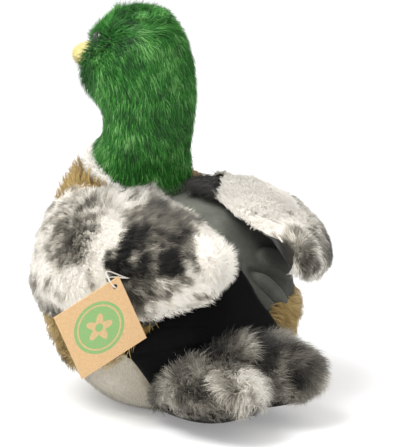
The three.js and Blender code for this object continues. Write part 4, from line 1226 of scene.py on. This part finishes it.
            # painted shade: the undercoat, under the top coat, is a little darker except where the pile is pale
            tone = tone - 0.05 * (1 - pale)
        if side < 0:
            origin = rightWing(np.zeros((1, 3)))[0]
            roots["place"] = rightWing(p)
            normal, lay = rightWing(normal) - origin, rightWing(lay) - origin
        roots["normal"] = normal
        style = {"length": length, "lift": lift, "stray": 0.24, "tuft": 4.5, "pull": 0.42 - 0.3 * pale,
                 "width": 0.4 if short else 0.34, "seed": seed, "wave": 0.4, "tuftTone": 0.22, "straight": short}
        fur(f"wing{title}{kind}", roots, lay, style, tone, mottledPile, body, 1 if short else 2)


wing("left", 1, leftPatches, [(12, 70, 105, 22)], 51, 23000)
wing("right", -1, rightPatches, [(19, 69, 107, 24)], 61, 17000)

# tail

print("tail")

tailSizes = {
    "width": 47.0, "height": 38.0, "split": 17.0, "splitRise": 8.0,
    "place": [0, 0.17, 0.35, 0.52, 0.7, 0.85, 0.96, 1], "wide": [0.8, 0.92, 1, 1, 0.94, 0.78, 0.52, 0.28],
    "high": [0.86, 0.94, 1, 1, 0.92, 0.76, 0.52, 0.3],
    "lobes": [
        [0.243, 0.514, 0.257, 0.176, 1.514, 0.419, 1, 1],
        [-0.243, 0.514, 0.27, -0.527, 1.311, 0.446, 0.94, 1],
        [0, 0.595, 0.432, 0, 1.216, 0.486, 1.15, 1.1],
    ],
}


def lobeFrame(lobe):
    start, end = (np.array(lobe[k:k + 3]) * bodySizes["length"] / 2 for k in (0, 3))
    forward = unit(end - start)
    across = unit(np.cross([0, 0, 1.0], forward))
    return start, end, forward, across, np.cross(forward, across)


def lobePoint(lobe, u, v, grown=0.0):
    # an ellipse swept from the tail's root to the lobe's tip, its sizes from the tables; the last tenth
    # closes in a round end
    start, end, forward, across, up = lobeFrame(lobe)
    t = tailSizes
    along = np.minimum(v / 0.9, 1)
    close = np.clip((v - 0.9) / 0.1, 0, 1)
    shut = np.sqrt(np.maximum(1 - close ** 2, 0))
    wide = (lobe[6] * through(t["place"], t["wide"], along) * t["width"] / 2 + grown) * shut
    high = (lobe[7] * through(t["place"], t["high"], along) * t["height"] / 2 + grown) * shut
    a = u * 2 * math.pi
    centre = start + (end - start) * along[..., None] + forward * (grown + 1.5 * close)[..., None]
    p = centre + across * (wide * np.cos(a))[..., None] + up * (high * np.sin(a))[..., None]
    p[..., 2] = np.maximum(p[..., 2], 2.2 - 0.3 * grown)
    return p


def insideLobe(lobe, p, grown):
    start, end, forward, across, up = lobeFrame(lobe)
    q = p - start
    along = (q * forward).sum(-1) / np.linalg.norm(end - start)
    t = tailSizes
    wide = lobe[6] * through(t["place"], t["wide"], along) * t["width"] / 2 + grown
    high = lobe[7] * through(t["place"], t["high"], along) * t["height"] / 2 + grown
    near = ((q * across).sum(-1) / wide) ** 2 + ((q * up).sum(-1) / high) ** 2
    return (near < 1) & (along < 1) & (along > 0)


tailMarks = [
    (168, 356, 17, 11, -10, 0.28, 0.95), (184, 364, 20, 8, 0, 0.46, 0.9), (159, 370, 9, 15, 0, 0.42, 0.9),
    (166, 388, 11, 14, 0, 0.7, 0.9), (182, 390, 12, 15, 10, 0.48, 0.9), (197, 404, 22, 8, 5, 0.74, 0.9),
    (214, 372, 10, 12, 10, 0.56, 0.9), (224, 384, 12, 18, 15, 0.74, 0.9), (234, 398, 9, 12, 0, 0.58, 0.8),
    (250, 370, 17, 13, 30, 0.8, 0.9), (262, 390, 14, 16, 0, 0.72, 0.9), (241, 394, 5, 5, 0, 0.2, 0.9),
    (238, 362, 16, 4, 10, 0.4, 0.7), (215, 340, 20, 14, -10, 0.22, 0.95),
    (240, 350, 15, 12, 20, 0.24, 0.95), (252, 333, 18, 10, 15, 0.02, 1), (266, 346, 10, 12, 0, 0.14, 0.9),
    (282, 338, 18, 9, 20, 0.26, 0.9), (290, 350, 16, 10, 20, 0.3, 0.9), (306, 356, 12, 14, 0, 0.3, 0.9),
    (285, 373, 13, 18, 10, 0.02, 1), (302, 372, 8, 14, 0, 0.34, 0.9), (317, 370, 7, 18, -10, 0.52, 0.9),
    (306, 390, 14, 8, -20, 0.5, 0.9), (290, 396, 12, 7, -20, 0.64, 0.9), (278, 402, 10, 5, 0, 0.7, 0.9),
]
u, v = np.meshgrid(np.arange(240) / 240, np.linspace(0, 1, 260), indexing="ij")
tailCloth = np.concatenate([lobePoint(lobe, u, v).reshape(-1, 3) for lobe in tailSizes["lobes"]])
tailPatches = patchesFrom(tailMarks, tailCloth, tailCloth)


def tailTone(p):
    return patchedTone(p, 0.45 + (mottle(p, 11, 31) - 0.5) * 0.5, tailPatches, 34)


def underTail(p):
    t = tailSizes
    return t["split"] + (p[..., 1] - bodySizes["length"] / 2) * math.tan(t["splitRise"] * degrees) - p[..., 2]


def bodyDepth(p):
    # how far out from the body's axis a point lies, less the body's own size there
    share = np.clip((p[..., 2] - bodyForm["low"]) / bodyForm["height"], 0, 1)
    y0 = through(bodyForm["share"], bodyForm["y"], share)
    angle = np.arctan2(p[..., 1] - y0, p[..., 0])
    skin = formPoint(bodyForm, angle, share)
    return np.hypot(p[..., 0], p[..., 1] - y0) - np.hypot(skin[..., 0], skin[..., 1] - y0)


def tail():
    parts = []
    for lobe in tailSizes["lobes"]:
        u, v = np.meshgrid(np.arange(48) / 48, np.linspace(0, 1, 40))
        points, faces = closedLoft(lobePoint(lobe, u, v, -pattern["pile"]))
        parts.append(meshPiece("tailLobe", points, faces))
    # one closed form: the lobes are joined, melted into one skin and eased
    bpy.ops.object.select_all(action="DESELECT")
    for part in parts:
        part.select_set(True)
    bpy.context.view_layer.objects.active = parts[0]
    bpy.ops.object.join()
    joined = parts[0]
    melt = joined.modifiers.new("melt", "REMESH")
    melt.mode = "VOXEL"
    melt.voxel_size = 0.0018
    easing = joined.modifiers.new("ease", "SMOOTH")
    easing.iterations = 6
    shape = bpy.data.meshes.new_from_object(joined.evaluated_get(bpy.context.evaluated_depsgraph_get()))
    bpy.data.objects.remove(joined)
    count = len(shape.vertices)
    points = np.empty(count * 3)
    shape.vertices.foreach_get("co", points)
    points = points.reshape(-1, 3) * 1000 + np.array(pattern["middle"])
    corners = np.empty(len(shape.loops), np.int32)
    shape.loops.foreach_get("vertex_index", corners)
    faces = corners.reshape(-1, 4)
    middle = points[faces].mean(1)
    below = underTail(middle) > 0
    for name, chosen, material, slot, nodes in (
        ("tailSkin", faces[~below], mottledPile, "mottled_pile", ["tail_top", "tail_filling"]),
        ("tailUnderside", faces[below], blackVelboa, "black_short_pile", ["tail_underside"]),
    ):
        used, index = np.unique(chosen, return_inverse=True)
        piece = meshPiece(name, points[used], [index.reshape(-1, 4)], pileSkin(tailTone(points[used])))
        if name == "tailUnderside":
            thicken(piece, clothSizes["underside"], 1)
        dress(piece, material, "tail", nodes, fill=0.75 if name == "tailSkin" else None)
    for index, (lobe, count) in enumerate(zip(tailSizes["lobes"], (14000, 12000, 8000))):
        for kind, share in (("Fur", 0.9), ("Undercoat", 1.0)):
            short = kind == "Undercoat"
            skin = lambda u, v: lobePoint(lobe, u, v, -pattern["pile"])
            roots = rootsOn(skin, count * share, 71 + index + 5 * short, None, (60, 60))
            p = roots["place"]
            keep = (underTail(p) < 1.0) & (bodyDepth(p) > -1.0)
            for other in tailSizes["lobes"]:
                if other is not lobe:
                    keep &= ~insideLobe(other, p, -pattern["pile"] - 0.8)
            roots = only(roots, keep)
            p = roots["place"]
            start, end, forward, across, up = lobeFrame(lobe)
            away = p - (end + forward * 4)
            whorl = np.cross(np.broadcast_to(forward, away.shape), unit(away))
            reach = np.linalg.norm(away, axis=-1) + (mottle(p, 8, 36) - 0.5) * 16
            near = ease(30, 8, reach)[:, None] * (1.0, 0.35, 0.2)[index]
            base = ease(16, 2, bodyDepth(p))
            drift = np.stack([mottle(p, 10, k) - 0.5 for k in (3, 4, 5)], -1) * 1.7
            seam = ease(-9, -1, underTail(p))[:, None]
            near = near * (1 - seam)
            nearSide = ease(0.1, 0.9, roots["normal"] @ np.array([0.87, -0.5, 0]))
            trim = (1 - 0.2 * seam[:, 0]) * (1 - 0.35 * nearSide)
            lay = forward * 0.8 * (1 - near) + np.array([0, 0, -0.45]) * (1 - 0.7 * seam)
            lay = flatTo(lay + (whorl * 0.5 + unit(away) * 0.9) * near + drift, roots["normal"])
            tone = tailTone(p) + (roots["chance"] - 0.5) * 0.2
            style = {"length": ((9.5 if short else 12.0) + 3.5 * base) * trim,
                     "lift": np.minimum(0.62 + 0.1 * short + 0.25 * base, 0.95), "stray": 0.28, "tuft": 5.5,
                     "pull": 0.4, "width": 0.4 if short else 0.32, "seed": 17, "wave": 0.5, "tuftTone": 0.22,
                     "straight": short}
            fur(f"tail{kind}_{index + 1}", roots, lay, style, tone, mottledPile, "tail")


tail()

# card tag and its thread

print("tag")

tagSizes = {"side": 45.0, "inset": 6.5, "angle": 43.0, "height": 0.7, "standoff": 24.0, "lean": 18.6, "tip": 6.6,
            "rise": 4.0, "thickness": 0.6, "thread": 0.9}


def tagFrame():
    # the hole's place, then the card's own right, outward and up directions
    w, t = wingSizes, tagSizes
    far = formPoint(wingBed, t["angle"] * degrees, t["height"], w["clearance"] + w["thickness"] + t["standoff"])
    seat = formPoint(wingBed, t["angle"] * degrees, t["height"])
    hole = np.array([far[0], far[1], seat[2] + t["rise"]])
    axes = turnedAbout(turnedAbout(np.eye(3), (1, 0, 0), -t["tip"] * degrees), (0, 1, 0), -t["lean"] * degrees)
    return hole, axes


def cardMaterial():
    # uncoated brown card with fibres, and a round green print with a ring and a five-petal motif left bare
    hole, axes = tagFrame()
    centre = hole + axes[2] * (tagSizes["inset"] - tagSizes["side"] / math.sqrt(2))
    centre = (centre - np.array(pattern["middle"])) / 1000

    def build(tree, place):
        fibres = addNode(tree, "ShaderNodeTexNoise", inputs={"Vector": place, "Scale": 1700.0, "Detail": 4.0,
                                                             "Distortion": 0.6})
        specks = addNode(tree, "ShaderNodeTexNoise", inputs={"Vector": place, "Scale": 3600.0, "Detail": 1.0})
        card = mixColour(tree, fibres.above(0.3, 0.7), paint(214, 174, 128), paint(232, 196, 150))
        card = mixColour(tree, specks.above(0.68, 0.8) * 0.5, card, paint(158, 120, 82))

        def along(axis):
            kind = "ShaderNodeVectorMath"
            moved = addNode(tree, kind, {"operation": "SUBTRACT"}, {0: place, 1: tuple(centre)})
            return addNode(tree, kind, {"operation": "DOT_PRODUCT"}, {0: moved, 1: tuple(axis)}, 1)

        x, y = along(axes[0]) * 1000, along(axes[2]) * 1000
        radius = (x * x + y * y) ** 0.5
        disc = 1 - radius.above(15.9, 16.2)
        ring = radius.above(12.9, 13.2) * (1 - radius.above(13.9, 14.2))
        # five petals round a printed middle: their outline is a radius that waves five times a turn
        angle = addNode(tree, "ShaderNodeMath", {"operation": "ARCTAN2"}, {0: y, 1: x})
        petals = addNode(tree, "ShaderNodeMath", {"operation": "COSINE"}, {0: angle * 5.0})
        motif = (1 - (radius - petals * 2.2).above(6.3, 6.7)) * radius.above(2.4, 2.7)
        ink = disc * (1 - ring * 0.9) * (1 - motif * 0.9) * (1 - specks.above(0.52, 0.66) * 0.55)
        colour = mixColour(tree, ink * 0.92, card, paint(122, 186, 118))
        bump = addNode(tree, "ShaderNodeBump", inputs={"Strength": 0.2, "Distance": 0.0003, "Height": fibres})
        return {"Base Color": colour, "Normal": bump}
    return newMaterial("kraftCard", paint(222, 184, 140), 0.85, build, **{"Specular IOR Level": 0.2})


def tag():
    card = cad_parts["tag_card"]
    material = cardMaterial()
    for slot in card.material_slots:
        slot.material = material
    if not card.material_slots:
        card.data.materials.append(material)
    # the thread: two twisted strands along the loop
    hole, axes = tagFrame()
    t = tagSizes
    clear = t["thickness"] / 2 + t["thread"]
    places = [(0.9, 0.75, -2), (0.8, 0.5, 0.8), (0.3, 0.1, 1.1), (0, 0, 0.5), (-0.05, 0.02, -1.4),
              (0.2, 0.2, -3.4)]
    held = np.array([hole + axes[0] * a * t["inset"] + axes[1] * off * clear + axes[2] * up * t["inset"]
                     for a, up, off in places])
    ends = [formPoint(wingBed, t["angle"] * degrees - side * t["thread"] / bodySizes["width"] * 2, t["height"],
                      wingSizes["clearance"] + wingSizes["thickness"] - 3.0) for side in (1, -1)]
    knots = np.concatenate([[ends[0]], held, [ends[1]]])
    far = np.concatenate([[0], np.cumsum(np.linalg.norm(np.diff(knots, axis=0), axis=1))])
    s = np.linspace(0, far[-1], 240)
    line = np.stack([through(far, knots[:, k], s) for k in range(3)], -1)
    ahead = unit(np.gradient(line, axis=0))
    across = unit(np.cross(ahead, axes[1] + 0.01))
    up = np.cross(ahead, across)
    points, faces = [], []
    for strand in range(2):
        twist = s / t["thread"] * math.pi / 1.6 + strand * math.pi
        core = line + 0.2 * (across * np.cos(twist)[:, None] + up * np.sin(twist)[:, None])
        a = np.arange(8) / 8 * 2 * math.pi
        ring = np.cos(a)[None, :, None] * across[:, None] + np.sin(a)[None, :, None] * up[:, None]
        p, f = closedLoft(core[:, None] + 0.27 * ring)
        faces += [part + sum(len(q) for q in points) for part in f]
        points.append(p)
    piece = meshPiece("tagThread", np.concatenate(points), faces)
    dress(piece, threadMaterial, "tag", ["tag_thread"])


def threadBuild(tree, place):
    specks = addNode(tree, "ShaderNodeTexNoise", inputs={"Vector": place, "Scale": 3000.0, "Detail": 2.0})
    return {"Base Color": mixColour(tree, specks, paint(206, 200, 190), paint(244, 240, 232))}


threadMaterial = newMaterial("twistedThread", paint(230, 226, 218), 0.7, threadBuild)
tag()

# what stays of the model inside

washerPlastic = newMaterial("washerPlastic", paint(228, 226, 218), 0.5)
for node in ("eye_washer_left", "eye_washer_right"):
    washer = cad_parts[node]
    for slot in washer.material_slots:
        slot.material = washerPlastic
